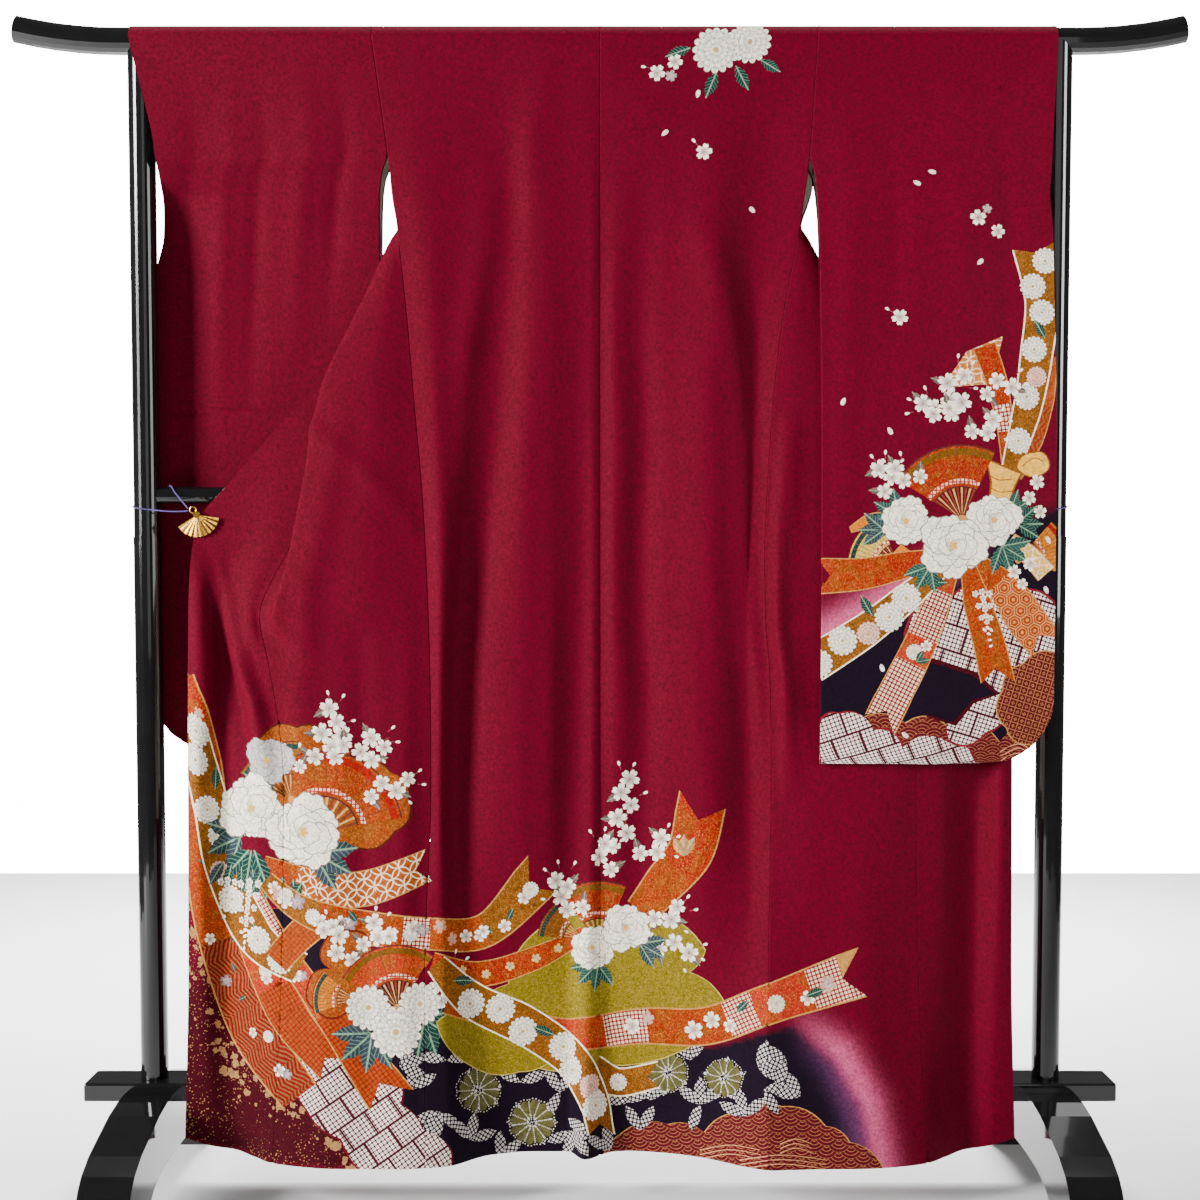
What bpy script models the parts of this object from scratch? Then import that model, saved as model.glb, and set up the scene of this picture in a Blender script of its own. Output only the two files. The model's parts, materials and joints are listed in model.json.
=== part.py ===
"""A long-sleeved kimono (furisode) shown from the back on a black lacquered kimono stand.

X runs to the right seen from the back of the garment, -Y is the side the back faces, +Z is up.
The floor is Z = 0 and the stand is centred on the origin. The tables give places in millimetres.
"""

import math

import bmesh
import bpy
from mathutils import Vector

MM = 0.001

# cloth
WALL = 0.0016
COLLAR_WALL = 0.0024
SEAM_GAP = 0.0003
SKEW_SEAM_GAP = 0.0009
SHARPEST_SEAM = math.radians(120)
TOUCH_GAP = 0.0003

# stand
BAR_RADIUS = 0.019
BAR_HEIGHT = 1.674
BAR_HALF_LENGTH = 0.839
BAR_TIP_RISE = 0.017
BAR_STRAIGHT = 0.690
POLE_X = 0.660
POLE_UPPER_RADIUS = 0.019
POLE_LOWER_RADIUS = 0.020
POLE_JOINT_HEIGHT = 0.964
RAIL_RADIUS = 0.0125
RAIL_HEIGHT = 1.024
BOARD_HALF_LENGTH = 0.756
BOARD_DEPTH = 0.072
BOARD_TOP = 0.165
BOARD_THICKNESS = 0.027
FOOT_WIDTH = 0.072
FOOT_TOP = 0.138 - TOUCH_GAP

# fan clip and tie cord
FAN_RADIUS = 0.032
FAN_RIBS = 10
FAN_INNER_RADIUS = 0.004
FAN_FIRST_ANGLE = math.radians(213)
FAN_LAST_ANGLE = math.radians(352)
FAN_RIB_DEPTH = 0.0011
FAN_SHEET = 0.0012
CLIP_PIVOT = Vector((-0.5795, -0.0362, 0.9945))
CLIP_RING_RADIUS = 0.0045
CLIP_RING_WIRE = 0.0009
CORD_RADIUS = 0.001

# materials: colour, roughness, metallic
CRIMSON_CREPE = ("crimson_crepe", (0.300, 0.004, 0.026), 0.62, 0.0)
BLACK_LACQUER = ("black_lacquer", (0.006, 0.006, 0.007), 0.12, 0.0)
GOLD_METAL = ("gold_metal", (0.78, 0.56, 0.20), 0.25, 1.0)
PURPLE_CORD = ("purple_cord", (0.09, 0.03, 0.22), 0.6, 0.0)

# The body's stations run from the bar (first row) down to the hem (last row).
# side seam: x, y, z on each hand; above row 3 it is the back edge of the armhole
SIDE_LEFT = [
    (-326, -20, 1674), (-304, -25, 1513), (-296, -25, 1445), (-288, -26, 1386), (-276, -33, 1276),
    (-264, -42, 1140), (-255, -48, 1040), (-249, -52, 940), (-245, -55, 840), (-243, -58, 760),
    (-242, -64, 600), (-250, -90, 330), (-247, -120, 68),
]
SIDE_RIGHT = [
    (311, -20, 1674), (300, -25, 1513), (292, -25, 1445), (283, -26, 1386), (262, -33, 1276),
    (247, -42, 1140), (240, -48, 1040), (236, -52, 940), (238, -55, 840), (244, -58, 760),
    (246, -64, 600), (240, -96, 330), (238, -130, 68),
]

# back of the body, x and y of each fold line at the stations: from beside the side seam to the centre seam
# left: side ridge, valley, ridge, recess, seam pleat, centre
BACK_LEFT = [
    [(-270, -20), (-150, -20), (-75, -20), (-45, -20), (-14, -20), (0, -20)],
    [(-262, -27), (-140, -20), (-95, -27), (-50, -24), (-12, -24), (0, -22)],
    [(-252, -30), (-140, -20), (-96, -30), (-50, -26), (-12, -26), (0, -23)],
    [(-243, -33), (-148, -21), (-98, -33), (-50, -28), (-12, -28), (0, -24)],
    [(-240, -40), (-165, -22), (-104, -38), (-50, -31), (-12, -30), (0, -26)],
    [(-236, -48), (-188, -26), (-108, -42), (-52, -34), (-12, -33), (0, -28)],
    [(-232, -54), (-194, -30), (-110, -45), (-52, -35), (-12, -35), (0, -30)],
    [(-229, -57), (-198, -33), (-110, -47), (-52, -36), (-12, -36), (0, -31)],
    [(-228, -60), (-202, -37), (-112, -50), (-50, -37), (-12, -38), (0, -32)],
    [(-228, -63), (-205, -40), (-114, -52), (-50, -38), (-12, -39), (0, -33)],
    [(-228, -70), (-206, -45), (-116, -56), (-48, -40), (-12, -43), (0, -36)],
    [(-226, -88), (-190, -60), (-112, -52), (-48, -42), (-20, -54), (0, -46)],
    [(-214, -110), (-160, -62), (-100, -45), (-48, -45), (-22, -82), (0, -62)],
]
# right: valley, ridge, slope, flat, beside the seam, centre
BACK_RIGHT = [
    [(255, -20), (150, -20), (75, -20), (45, -20), (14, -20), (0, -20)],
    [(236, -20), (163, -28), (105, -26), (52, -25), (12, -23), (0, -22)],
    [(231, -20), (161, -32), (104, -28), (52, -26), (12, -24), (0, -23)],
    [(226, -20), (160, -36), (103, -30), (51, -27), (12, -25), (0, -24)],
    [(217, -22), (159, -43), (101, -34), (50, -30), (12, -28), (0, -26)],
    [(212, -26), (158, -50), (98, -38), (48, -32), (12, -30), (0, -28)],
    [(210, -30), (158, -53), (97, -40), (47, -33), (12, -32), (0, -30)],
    [(209, -33), (158, -56), (96, -42), (46, -34), (12, -33), (0, -31)],
    [(210, -36), (158, -58), (96, -43), (46, -35), (12, -34), (0, -32)],
    [(213, -38), (159, -60), (95, -45), (45, -36), (12, -35), (0, -33)],
    [(214, -46), (160, -64), (95, -48), (45, -38), (12, -37), (0, -36)],
    [(208, -80), (158, -66), (92, -50), (44, -42), (18, -40), (0, -46)],
    [(205, -112), (150, -74), (95, -52), (46, -43), (18, -47), (0, -62)],
]

# front of the body, pulled out to the side, x y z of each line at the stations (left hand, mirrored for the
# right): near layer, fold edge of the slack pleat, under fold, seam to the overlap panel
FRONT = [
    [(-262, 20, 1674), (-200, 20, 1674), (-138, 20, 1674), (-75, 20, 1674)],
    [(-270, 32, 1508), (-238, 35, 1502), (-206, 33, 1510), (-170, 27, 1541)],
    [(-284, 10, 1441), (-270, 13, 1436), (-245, 17, 1450), (-220, 22, 1471)],
    [(-293, -22, 1386), (-299, -13, 1392), (-248, -3, 1396), (-243, 8, 1417)],
    [(-310, -37, 1280), (-343, -27, 1298), (-262, -14, 1262), (-290, -4, 1290)],
    [(-330, -52, 1148), (-400, -44, 1172), (-318, -32, 1118), (-345, -22, 1150)],
    [(-338, -60, 1042), (-422, -56, 1050), (-377, -44, 1016), (-404, -34, 1034)],
    [(-346, -65, 940), (-442, -61.5, 946), (-423, -46, 939), (-448, -40, 942)],
    [(-348, -67, 840), (-462, -68, 848), (-475, -53, 849), (-488, -47.5, 850)],
    [(-320, -66, 762), (-385, -68, 766), (-435, -66, 770), (-472, -62, 774)],
    [(-305, -74, 600), (-365, -76, 600), (-415, -72, 602), (-453, -64, 606)],
    [(-310, -96, 330), (-365, -94, 330), (-415, -86, 331), (-457, -76, 333)],
    [(-307, -124, 68), (-365, -122, 68), (-420, -114, 68), (-468, -100, 69)],
]
FRONT_SIDE_Y = [20, 27, 8]

# overlap panel (okumi) beyond that seam, from its tip between stations 2 and 3 down to the hem:
# swell, valley, lip, free edge; above the clip the free edge is the collar line
OVERLAP = [
    [(-220, 22, 1471), (-220, 22, 1471), (-220, 22, 1471), (-220, 22, 1471)],
    [(-246, 9.5, 1419.5), (-249.5, 11, 1422), (-253, 12.5, 1424.5), (-256, 14, 1427)],
    [(-298, -3, 1298), (-306, -2, 1306), (-314, -1, 1314), (-322, 0, 1322)],
    [(-357, -20, 1162), (-369, -18, 1174), (-381, -16, 1186), (-393, -14, 1197)],
    [(-414, -30, 1056), (-427, -26, 1083), (-440, -23, 1109), (-452, -20, 1135)],
    [(-462, -38, 964), (-486, -33, 992), (-508, -29, 1018), (-530, -26, 1046)],
    [(-502, -44, 874), (-538, -31, 915), (-563, -33, 947), (-583, -32, 975)],
    [(-500, -57, 792), (-545, -31, 822), (-576, -46, 858), (-591, -41, 885)],
    [(-490, -58, 612), (-543, -31, 622), (-578, -54, 632), (-594, -46, 640)],
    [(-490, -66, 336), (-540, -41, 340), (-574, -59, 346), (-595, -54, 350)],
    [(-497, -76, 70), (-534, -52, 74), (-570, -58, 82), (-602, -58, 92)],
]
OVERLAP_FIRST_STATION = 2

# sleeves: z of the rows, then x and y of the inner edge, two fold lines and the outer edge
SLEEVE_ROWS = [1674, 1513, 1480, 1450, 1400, 1330, 1200, 1050, 850]
LEFT_SLEEVE_BACK = [
    [(-326, -20), (-440, -20), (-556, -20), (-673, -20)],
    [(-304, -25), (-424, -23), (-540, -18), (-637, -23)],
    [(-313, -19), (-425, -14), (-541, -8), (-634, -8)],
    [(-317, -10), (-426, -4), (-542, 6), (-634, 15)],
    [(-319, 6), (-430, 14), (-548, 20), (-637, 25)],
    [(-320, 20), (-432, 26), (-552, 27), (-654, 27)],
    [(-320, 27), (-434, 30), (-554, 29), (-662, 27)],
    [(-320, 29), (-436, 31), (-556, 30), (-663, 27)],
    [(-321, 30), (-436, 31), (-556, 31), (-664, 28)],
]
LEFT_SLEEVE_FRONT = [
    [(-326, 20), (-440, 20), (-556, 20), (-673, 20)],
    [(-304, 27), (-424, 36), (-540, 38), (-644, 27)],
    [(-313, 32), (-425, 41), (-541, 42), (-637, 22)],
    [(-317, 36), (-426, 44), (-544, 44), (-634, 17)],
    [(-319, 42), (-430, 48), (-550, 46), (-637, 27)],
    [(-320, 44), (-432, 48), (-552, 46), (-654, 29)],
    [(-320, 46), (-434, 49), (-554, 46), (-662, 29)],
    [(-320, 47), (-436, 49), (-556, 46), (-663, 29)],
    [(-321, 47), (-436, 49), (-556, 46), (-664, 30)],
]
RIGHT_SLEEVE_BACK = [
    [(311, -20), (425, -20), (540, -20), (654, -20)],
    [(300, -25), (417, -30), (532, -30), (646, -26)],
    [(307, -27), (419, -34), (533, -34), (644, -28)],
    [(310, -30), (420, -38), (534, -38), (642, -30)],
    [(312, -40), (421, -46), (535, -44), (645, -37)],
    [(312, -55), (421, -58), (535, -53), (646, -43)],
    [(312, -75), (421, -75), (536, -66), (648, -53)],
    [(312, -88), (421, -88), (537, -78), (649, -60)],
    [(313, -88), (422, -88), (538, -80), (649, -62)],
]
RIGHT_SLEEVE_FRONT = [
    [(311, 20), (425, 20), (540, 20), (652, 20)],
    [(300, 27), (417, 26), (532, 22), (634, 12)],
    [(308, 18), (419, 16), (533, 10), (635, -6)],
    [(311, 3), (420, 2), (534, -4), (641, -28)],
    [(312, -20), (421, -24), (535, -27), (645, -35)],
    [(312, -39), (421, -41), (535, -40), (646, -41)],
    [(312, -61), (421, -61), (536, -54), (648, -51)],
    [(312, -74), (421, -74), (537, -66), (649, -58)],
    [(313, -74), (422, -74), (538, -67), (649, -60)],
]
SLEEVE_BOTTOM = {"left": 0.648, "right": 0.640}
SLEEVE_CORNER_RADIUS = 0.090
SLEEVE_CORNER_ROWS = (1.0, 0.62, 0.30, 0.09, 0.0)
SLEEVE_CLOSING_HEIGHT = 0.075
SLEEVE_SEAM_GAP = 0.0006
SLEEVE_SEWN_ROW = 3
ARMHOLE_ROW = 1

# collar: width of the folded band, and how far past the top of the bar the neckline lies
COLLAR_WIDTH = 0.055
NECK_HALF_WIDTH = 0.075
NECK_ANGLE = 135
ARC_STEPS = 8

HANDS = ("left", "right")
COLLECTION = "furisode_on_kimono_stand"


def clear_scene():
    for thing in list(bpy.data.objects):
        bpy.data.objects.remove(thing, do_unlink=True)


def new_collection(name):
    collection = bpy.data.collections.new(name)
    bpy.context.scene.collection.children.link(collection)
    return collection


def material(finish):
    name, colour, roughness, metallic = finish
    made = bpy.data.materials.get(name)
    if made is None:
        made = bpy.data.materials.new(name)
        made.use_nodes = True
        shader = made.node_tree.nodes["Principled BSDF"]
        shader.inputs["Base Color"].default_value = (*colour, 1.0)
        shader.inputs["Roughness"].default_value = roughness
        shader.inputs["Metallic"].default_value = metallic
    return made


def add_mesh(bm, name, finish, home):
    mesh = bpy.data.meshes.new(name)
    bm.to_mesh(mesh)
    bm.free()
    mesh.materials.append(material(finish))
    mesh.shade_smooth()
    made = bpy.data.objects.new(name, mesh)
    home.objects.link(made)
    return made


def slope(before, here, after):
    left = here - before
    right = after - here
    if left * right <= 0:
        return 0.0
    return 2 * left * right / (left + right)


def along(values, place):
    """Smooth curve through evenly spaced values that never overshoots them."""
    last = len(values) - 1
    i = min(int(place), last - 1)
    f = place - i
    start, end = values[i], values[i + 1]
    leave = slope(values[i - 1], start, end) if i > 0 else end - start
    arrive = slope(start, end, values[i + 2]) if i + 2 <= last else end - start
    square, cube = f * f, f * f * f
    return (start * (2 * cube - 3 * square + 1) + leave * (cube - 2 * square + f)
            + end * (3 * square - 2 * cube) + arrive * (cube - square))


def along_points(points, place):
    return Vector([along([p[k] for p in points], place) for k in range(3)])


def places(steps):
    """Places along a table whose intervals are split into the given numbers of steps."""
    found = [0.0]
    for i, count in enumerate(steps):
        found += [i + (k + 1) / count for k in range(count)]
    return found


def around_bar(x, angle, radius):
    """Point on cloth that wraps the bar: 0 is its near side, 90 its top, 180 its far side."""
    turn = math.radians(angle)
    return Vector((x, -radius * math.cos(turn), BAR_HEIGHT + radius * math.sin(turn)))


def cloth(name, grid, finish, home, wall=WALL, drop=None):
    """Wall of even thickness on a grid of points, a list of rows."""
    rows, columns = len(grid) - 1, len(grid[0]) - 1
    bm = bmesh.new()
    made = bmesh.ops.create_grid(bm, x_segments=columns, y_segments=rows, size=0.5)
    cell = {}
    for vert in made["verts"]:
        column = round((vert.co.x + 0.5) * columns)
        row = round((vert.co.y + 0.5) * rows)
        cell[vert] = (row, column)
    if drop:
        spare = [f for f in bm.faces if all(drop(*cell[v]) for v in f.verts)]
        bmesh.ops.delete(bm, geom=spare, context="FACES")
    for vert in bm.verts:
        row, column = cell[vert]
        vert.co = grid[row][column]
    thing = add_mesh(bm, name, finish, home)
    solidify = thing.modifiers.new("wall", "SOLIDIFY")
    solidify.thickness = wall
    solidify.offset = 0.0
    return thing


def square_to(way, run):
    """Direction of a vector once its part along the run is taken out."""
    return (way - run * way.dot(run)).normalized()


def part_seam(one, one_rows, one_edge, other, other_rows, other_edge, gap=SEAM_GAP):
    """Draw two edges that meet on a seam back from it, further where the walls meet at an angle."""
    seam = [one[row][one_edge[0]].copy() for row in one_rows]
    last = len(seam) - 1
    for k, (row, across) in enumerate(zip(one_rows, other_rows)):
        edge = seam[k]
        run = (seam[min(k + 1, last)] - seam[max(k - 1, 0)]).normalized()
        this_way = square_to(one[row][one_edge[1]] - edge, run)
        that_way = square_to(other[across][other_edge[1]] - edge, run)
        bend = min(math.pi - this_way.angle(that_way), SHARPEST_SEAM)
        ease = gap / 2 + WALL / 2 * math.tan(bend / 2)
        one[row][one_edge[0]] = edge + this_way * ease
        other[across][other_edge[0]] = edge + that_way * ease


# body

BODY_PLACES = places([2] * 12)
SIDE_TOP_STATION = 3
ARC_ANGLES = [180 * k / ARC_STEPS for k in range(1, ARC_STEPS + 1)]
CLOTH_RADIUS = BAR_RADIUS + TOUCH_GAP + WALL / 2
BACK_STEPS = [2, 3, 3, 1, 1, 1]
FRONT_STEPS = [1, 3, 3, 1]
OVERLAP_STEPS = [1, 2, 2, 1]
NECK_COLUMN = sum(FRONT_STEPS)
OVERLAP_PLACES = [place for place in BODY_PLACES if place > OVERLAP_FIRST_STATION + 0.5]


def side_table(hand):
    return SIDE_LEFT if hand == "left" else SIDE_RIGHT


def metres(row):
    return [Vector(p) * MM for p in row]


def side_point(hand, place):
    return along_points(metres(side_table(hand)), place)


def front_side_point(hand, place):
    """Side edge of the front: behind the back's edge in the armhole, one with it along the side seam."""
    edge = side_point(hand, place)
    if place < SIDE_TOP_STATION:
        joined = [row[1] for row in side_table(hand)[SIDE_TOP_STATION:SIDE_TOP_STATION + 2]]
        edge.y = along(FRONT_SIDE_Y + joined, place) * MM
    return edge


def back_guides(hand, place):
    """Points of one level row of the back, from the side edge to the centre seam."""
    table = BACK_LEFT if hand == "left" else BACK_RIGHT
    edge = side_point(hand, place)
    guides = [edge]
    for k in range(len(table[0])):
        x = along([row[k][0] * MM for row in table], place)
        y = along([row[k][1] * MM for row in table], place)
        guides.append(Vector((x, y, edge.z)))
    return guides


def front_line(hand, line, place):
    """Point at a place on one line of the front sheet: 0 to 3 on the front, 4 to 7 on the overlap panel."""
    if line < 4:
        rows = [metres(row)[line] for row in FRONT]
    else:
        above = [metres(FRONT[k])[3] for k in range(OVERLAP_FIRST_STATION)]
        rows = above + [metres(row)[line - 4] for row in OVERLAP]
    point = along_points(rows, place)
    if hand == "right":
        point.x = -point.x
    return point


def front_guides(hand, place):
    return [front_side_point(hand, place)] + [front_line(hand, line, place) for line in range(8)]


def spread(guides, steps, first=0):
    """Points across a row of guides, some steps between each two of them."""
    return [along_points(guides, first + p) for p in places(steps)]


BACK_COUNT = len(BODY_PLACES)
NECK_ROW = BACK_COUNT + ARC_ANGLES.index(NECK_ANGLE)
FRONT_FIRST = BACK_COUNT + len(ARC_ANGLES)
OUTER_EDGE = (0, 1)
INNER_EDGE = (-1, -2)
FRONT_INNER_EDGE = (NECK_COLUMN, NECK_COLUMN - 1)


def body_grid(hand):
    """One length of cloth from the back hem over the bar to the front hem."""
    grid = [spread(back_guides(hand, place), BACK_STEPS) for place in reversed(BODY_PLACES)]
    back_x = [p.x for p in grid[-1]]
    front_x = [p.x for p in spread(front_guides(hand, 0), FRONT_STEPS)]
    front_x += back_x[NECK_COLUMN + 1:]
    for angle in ARC_ANGLES:
        share = angle / 180
        grid.append([around_bar(b + (f - b) * share, angle, CLOTH_RADIUS) for b, f in zip(back_x, front_x)])
    spare = len(back_x) - NECK_COLUMN - 1
    for place in BODY_PLACES[1:]:
        row = spread(front_guides(hand, place), FRONT_STEPS)
        grid.append(row + [row[-1]] * spare)
    return grid


def overlap_grid(hand):
    """Overlap panel, sewn along the front and narrowing to a tip under the collar."""
    grid = []
    for place in OVERLAP_PLACES:
        row = spread(front_guides(hand, place), FRONT_STEPS + OVERLAP_STEPS)
        grid.append(row[NECK_COLUMN:])
    return grid


def neck_cut(row, column):
    return row >= NECK_ROW and column >= NECK_COLUMN


# sleeves

SLEEVE_STEPS = [2, 2, 3]
SLEEVE_ROW_STEPS = [2, 1, 1, 1, 1, 1, 1, 1]


def sleeve_guides(hand, layer, place):
    """Guide points of one level row of a sleeve's back or front layer."""
    tables = {
        ("left", "back"): LEFT_SLEEVE_BACK, ("left", "front"): LEFT_SLEEVE_FRONT,
        ("right", "back"): RIGHT_SLEEVE_BACK, ("right", "front"): RIGHT_SLEEVE_FRONT,
    }
    table = tables[hand, layer]
    height = along([z * MM for z in SLEEVE_ROWS], place)
    if place <= ARMHOLE_ROW:
        height = side_point(hand, place).z
    guides = []
    for k in range(4):
        x = along([row[k][0] * MM for row in table], place)
        y = along([row[k][1] * MM for row in table], place)
        guides.append(Vector((x, y, height)))
    if place <= ARMHOLE_ROW:
        guides[0] = side_point(hand, place) if layer == "back" else front_side_point(hand, place)
    return guides


def sleeve_corner_row(hand, layer, share):
    """A row across the rounded bottom corner, where the two layers close on each other."""
    radius = SLEEVE_CORNER_RADIUS
    rise = share * radius
    inset = radius - math.sqrt(radius ** 2 - (radius - rise) ** 2)
    last = len(SLEEVE_ROWS) - 1
    own = sleeve_guides(hand, layer, last)
    other = sleeve_guides(hand, "front" if layer == "back" else "back", last)
    open_share = min(1.0, rise / SLEEVE_CLOSING_HEIGHT)
    open_share = open_share * open_share * (3 - 2 * open_share)
    way = 1 if layer == "front" else -1
    inner = own[0].x
    reach = (abs(own[3].x - inner) - inset) / abs(own[3].x - inner)
    row = []
    for p, q in zip(own, other):
        middle = (p.y + q.y) / 2
        closed = middle + way * (WALL + SLEEVE_SEAM_GAP) / 2
        y = closed + (p.y - closed) * open_share
        row.append(Vector((inner + (p.x - inner) * reach, y, SLEEVE_BOTTOM[hand] + rise)))
    return row


def sleeve_layer(hand, layer):
    rows = [spread(sleeve_guides(hand, layer, p), SLEEVE_STEPS) for p in places(SLEEVE_ROW_STEPS)]
    rows += [spread(sleeve_corner_row(hand, layer, s), SLEEVE_STEPS) for s in SLEEVE_CORNER_ROWS]
    return rows


SLEEVE_BACK_COUNT = len(places(SLEEVE_ROW_STEPS)) + len(SLEEVE_CORNER_ROWS)
ARMHOLE_ROWS = places(SLEEVE_ROW_STEPS).index(ARMHOLE_ROW)


def sleeve_grid(hand):
    """One length of cloth folded over the bar, its layers sewn below the cuff and along the bottom."""
    back = sleeve_layer(hand, "back")
    front = sleeve_layer(hand, "front")
    grid = list(reversed(back))
    for angle in ARC_ANGLES[:-1]:
        share = angle / 180
        xs = [b.x + (f.x - b.x) * share for b, f in zip(back[0], front[0])]
        grid.append([around_bar(x, angle, CLOTH_RADIUS) for x in xs])
    return grid + front


def cloth_pieces(home):
    """Cut pieces of both hands, drawn back from the seams that join them."""
    bodies = {hand: body_grid(hand) for hand in HANDS}
    overlaps = {hand: overlap_grid(hand) for hand in HANDS}
    sleeves = {hand: sleeve_grid(hand) for hand in HANDS}
    centre = range(NECK_ROW + 1)
    part_seam(bodies["left"], centre, INNER_EDGE, bodies["right"], centre, INNER_EDGE)
    seam_count = BACK_COUNT - SIDE_TOP_STATION * 2
    for hand in HANDS:
        made = bodies[hand]
        last = len(made) - 1
        part_seam(made, range(seam_count), OUTER_EDGE, made, range(last, last - seam_count, -1), OUTER_EDGE)
        front_rows = range(len(made) - len(OVERLAP_PLACES) - 1, len(made))
        overlap_rows = [0] + list(range(len(OVERLAP_PLACES)))
        part_seam(made, front_rows, FRONT_INNER_EDGE, overlaps[hand], overlap_rows, OUTER_EDGE, SKEW_SEAM_GAP)
        above = ARMHOLE_ROWS * 2 + len(ARC_ANGLES) + 1
        body_first = BACK_COUNT - 1 - ARMHOLE_ROWS
        sleeve_first = SLEEVE_BACK_COUNT - 1 - ARMHOLE_ROWS
        part_seam(made, range(body_first, body_first + above), OUTER_EDGE,
                  sleeves[hand], range(sleeve_first, sleeve_first + above), OUTER_EDGE)
        cloth("body_" + hand, made, CRIMSON_CREPE, home, drop=neck_cut)
        cloth("overlap_" + hand, overlaps[hand], CRIMSON_CREPE, home)
        cloth("sleeve_" + hand, sleeves[hand], CRIMSON_CREPE, home)


# collar

COLLAR_COLUMNS = 4
COLLAR_BEHIND = 0.0030
COLLAR_ACROSS = Vector((0.816, 0.0, -0.579))
COLLAR_LIFT = 0.0014
COLLAR_RADIUS = BAR_RADIUS + TOUCH_GAP + COLLAR_WALL / 2 + COLLAR_LIFT
COLLAR_PLACES = [0.5, 1, 1.5, 2, 2.5, 3, 3.5, 4, 4.5, 5, 5.5, 6, 6.5, 7, 7.5, 7.9]
NECK_GAP = 0.0008
NECK_START = NECK_ANGLE + math.degrees(NECK_GAP / COLLAR_RADIUS)
# rows at the neck, seam to fold: an angle round the bar or y and z, after the distance from the centre
NECK_ROWS = [
    [(0, NECK_START), (0, 157.5), (0, 180), (0, 22.4, 1650), (0, 23.4, 1627)],
    [(38, NECK_START), (38, 157.5), (36, 180), (33, 22.4, 1650), (29, 23.4, 1627)],
    [(66, NECK_START), (60, 157.5), (53, 180), (45, 22.4, 1652), (35, 23.4, 1628)],
    [(74.7, NECK_START), (67, 157.5), (58, 180), (50, 22.4, 1653), (38, 23.4, 1628)],
    [(74.7, 157.5), (68, 180), (60, 22.4, 1658), (51, 23.1, 1643), (41, 23.9, 1626)],
    [(74.7, 180), (67, 22.4, 1664), (58, 23.2, 1652), (49, 23.9, 1640), (42, 24.9, 1620)],
]


def neck_point(entry):
    if len(entry) == 2:
        return around_bar(entry[0] * MM, entry[1], COLLAR_RADIUS)
    return Vector(entry) * MM


def collar(home):
    """Folded band round the neck behind the bar and down both fronts, laid back behind the seam."""
    half = [[neck_point(entry) for entry in row] for row in NECK_ROWS]
    for place in COLLAR_PLACES:
        line = 3 if place < OVERLAP_FIRST_STATION else 7
        seam = front_line("right", line, place)
        across = Vector((-COLLAR_ACROSS.x, 0, COLLAR_ACROSS.z))
        seam += across * SEAM_GAP + Vector((0, COLLAR_BEHIND, 0))
        half.append([seam + across * (COLLAR_WIDTH * k / COLLAR_COLUMNS) for k in range(COLLAR_COLUMNS + 1)])
    other = [[Vector((-p.x, p.y, p.z)) for p in row] for row in half[1:]]
    grid = list(reversed(other)) + half
    return cloth("collar", grid, CRIMSON_CREPE, home, wall=COLLAR_WALL)


# stand

def cylinder(name, radius, start, end, finish, home, sides=32):
    """Round bar between two points."""
    run = Vector(end) - Vector(start)
    bpy.ops.mesh.primitive_cylinder_add(vertices=sides, radius=radius, depth=run.length)
    made = bpy.context.object
    made.name = name
    made.rotation_euler = run.to_track_quat("Z", "Y").to_euler()
    made.location = (Vector(start) + Vector(end)) / 2
    made.data.materials.append(material(finish))
    made.data.shade_smooth()
    move_to(made, home)
    return made


def move_to(thing, home):
    for collection in list(thing.users_collection):
        collection.objects.unlink(thing)
    home.objects.link(thing)


def as_cutter(thing, cutters):
    move_to(thing, cutters)
    thing.hide_render = True
    thing.display_type = "WIRE"
    return thing


def boolean(thing, other, operation):
    modifier = thing.modifiers.new(operation.lower(), "BOOLEAN")
    modifier.operation = operation
    modifier.object = other
    modifier.solver = "EXACT"


def box(name, low, high, finish, home, bevel=0.0):
    bpy.ops.mesh.primitive_cube_add(size=1.0)
    made = bpy.context.object
    made.name = name
    for vert in made.data.vertices:
        for k in range(3):
            vert.co[k] = (low[k] + high[k]) / 2 + vert.co[k] * (high[k] - low[k])
    made.data.materials.append(material(finish))
    move_to(made, home)
    if bevel:
        rounding = made.modifiers.new("rounded_edges", "BEVEL")
        rounding.width = bevel
        rounding.segments = 2
    return made


def solid_from_curve(thing, home):
    """Closed mesh in place of a curve object."""
    graph = bpy.context.evaluated_depsgraph_get()
    mesh = bpy.data.meshes.new_from_object(thing.evaluated_get(graph))
    name = thing.name
    bm = bmesh.new()
    bm.from_mesh(mesh)
    bmesh.ops.remove_doubles(bm, verts=bm.verts, dist=0.00001)
    bm.to_mesh(mesh)
    bm.free()
    mesh.shade_smooth()
    bpy.data.objects.remove(thing, do_unlink=True)
    made = bpy.data.objects.new(name, mesh)
    home.objects.link(made)
    return made


def tube(name, points, radius, finish, home, resolution):
    curve = bpy.data.curves.new(name, "CURVE")
    curve.dimensions = "3D"
    curve.bevel_depth = radius
    curve.bevel_resolution = resolution
    curve.use_fill_caps = True
    spline = curve.splines.new("POLY")
    spline.points.add(len(points) - 1)
    for spot, point in zip(spline.points, points):
        spot.co = (*point, 1.0)
    curve.materials.append(material(finish))
    made = bpy.data.objects.new(name, curve)
    home.objects.link(made)
    return made


BAR_BEND_STEPS = 5


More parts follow.
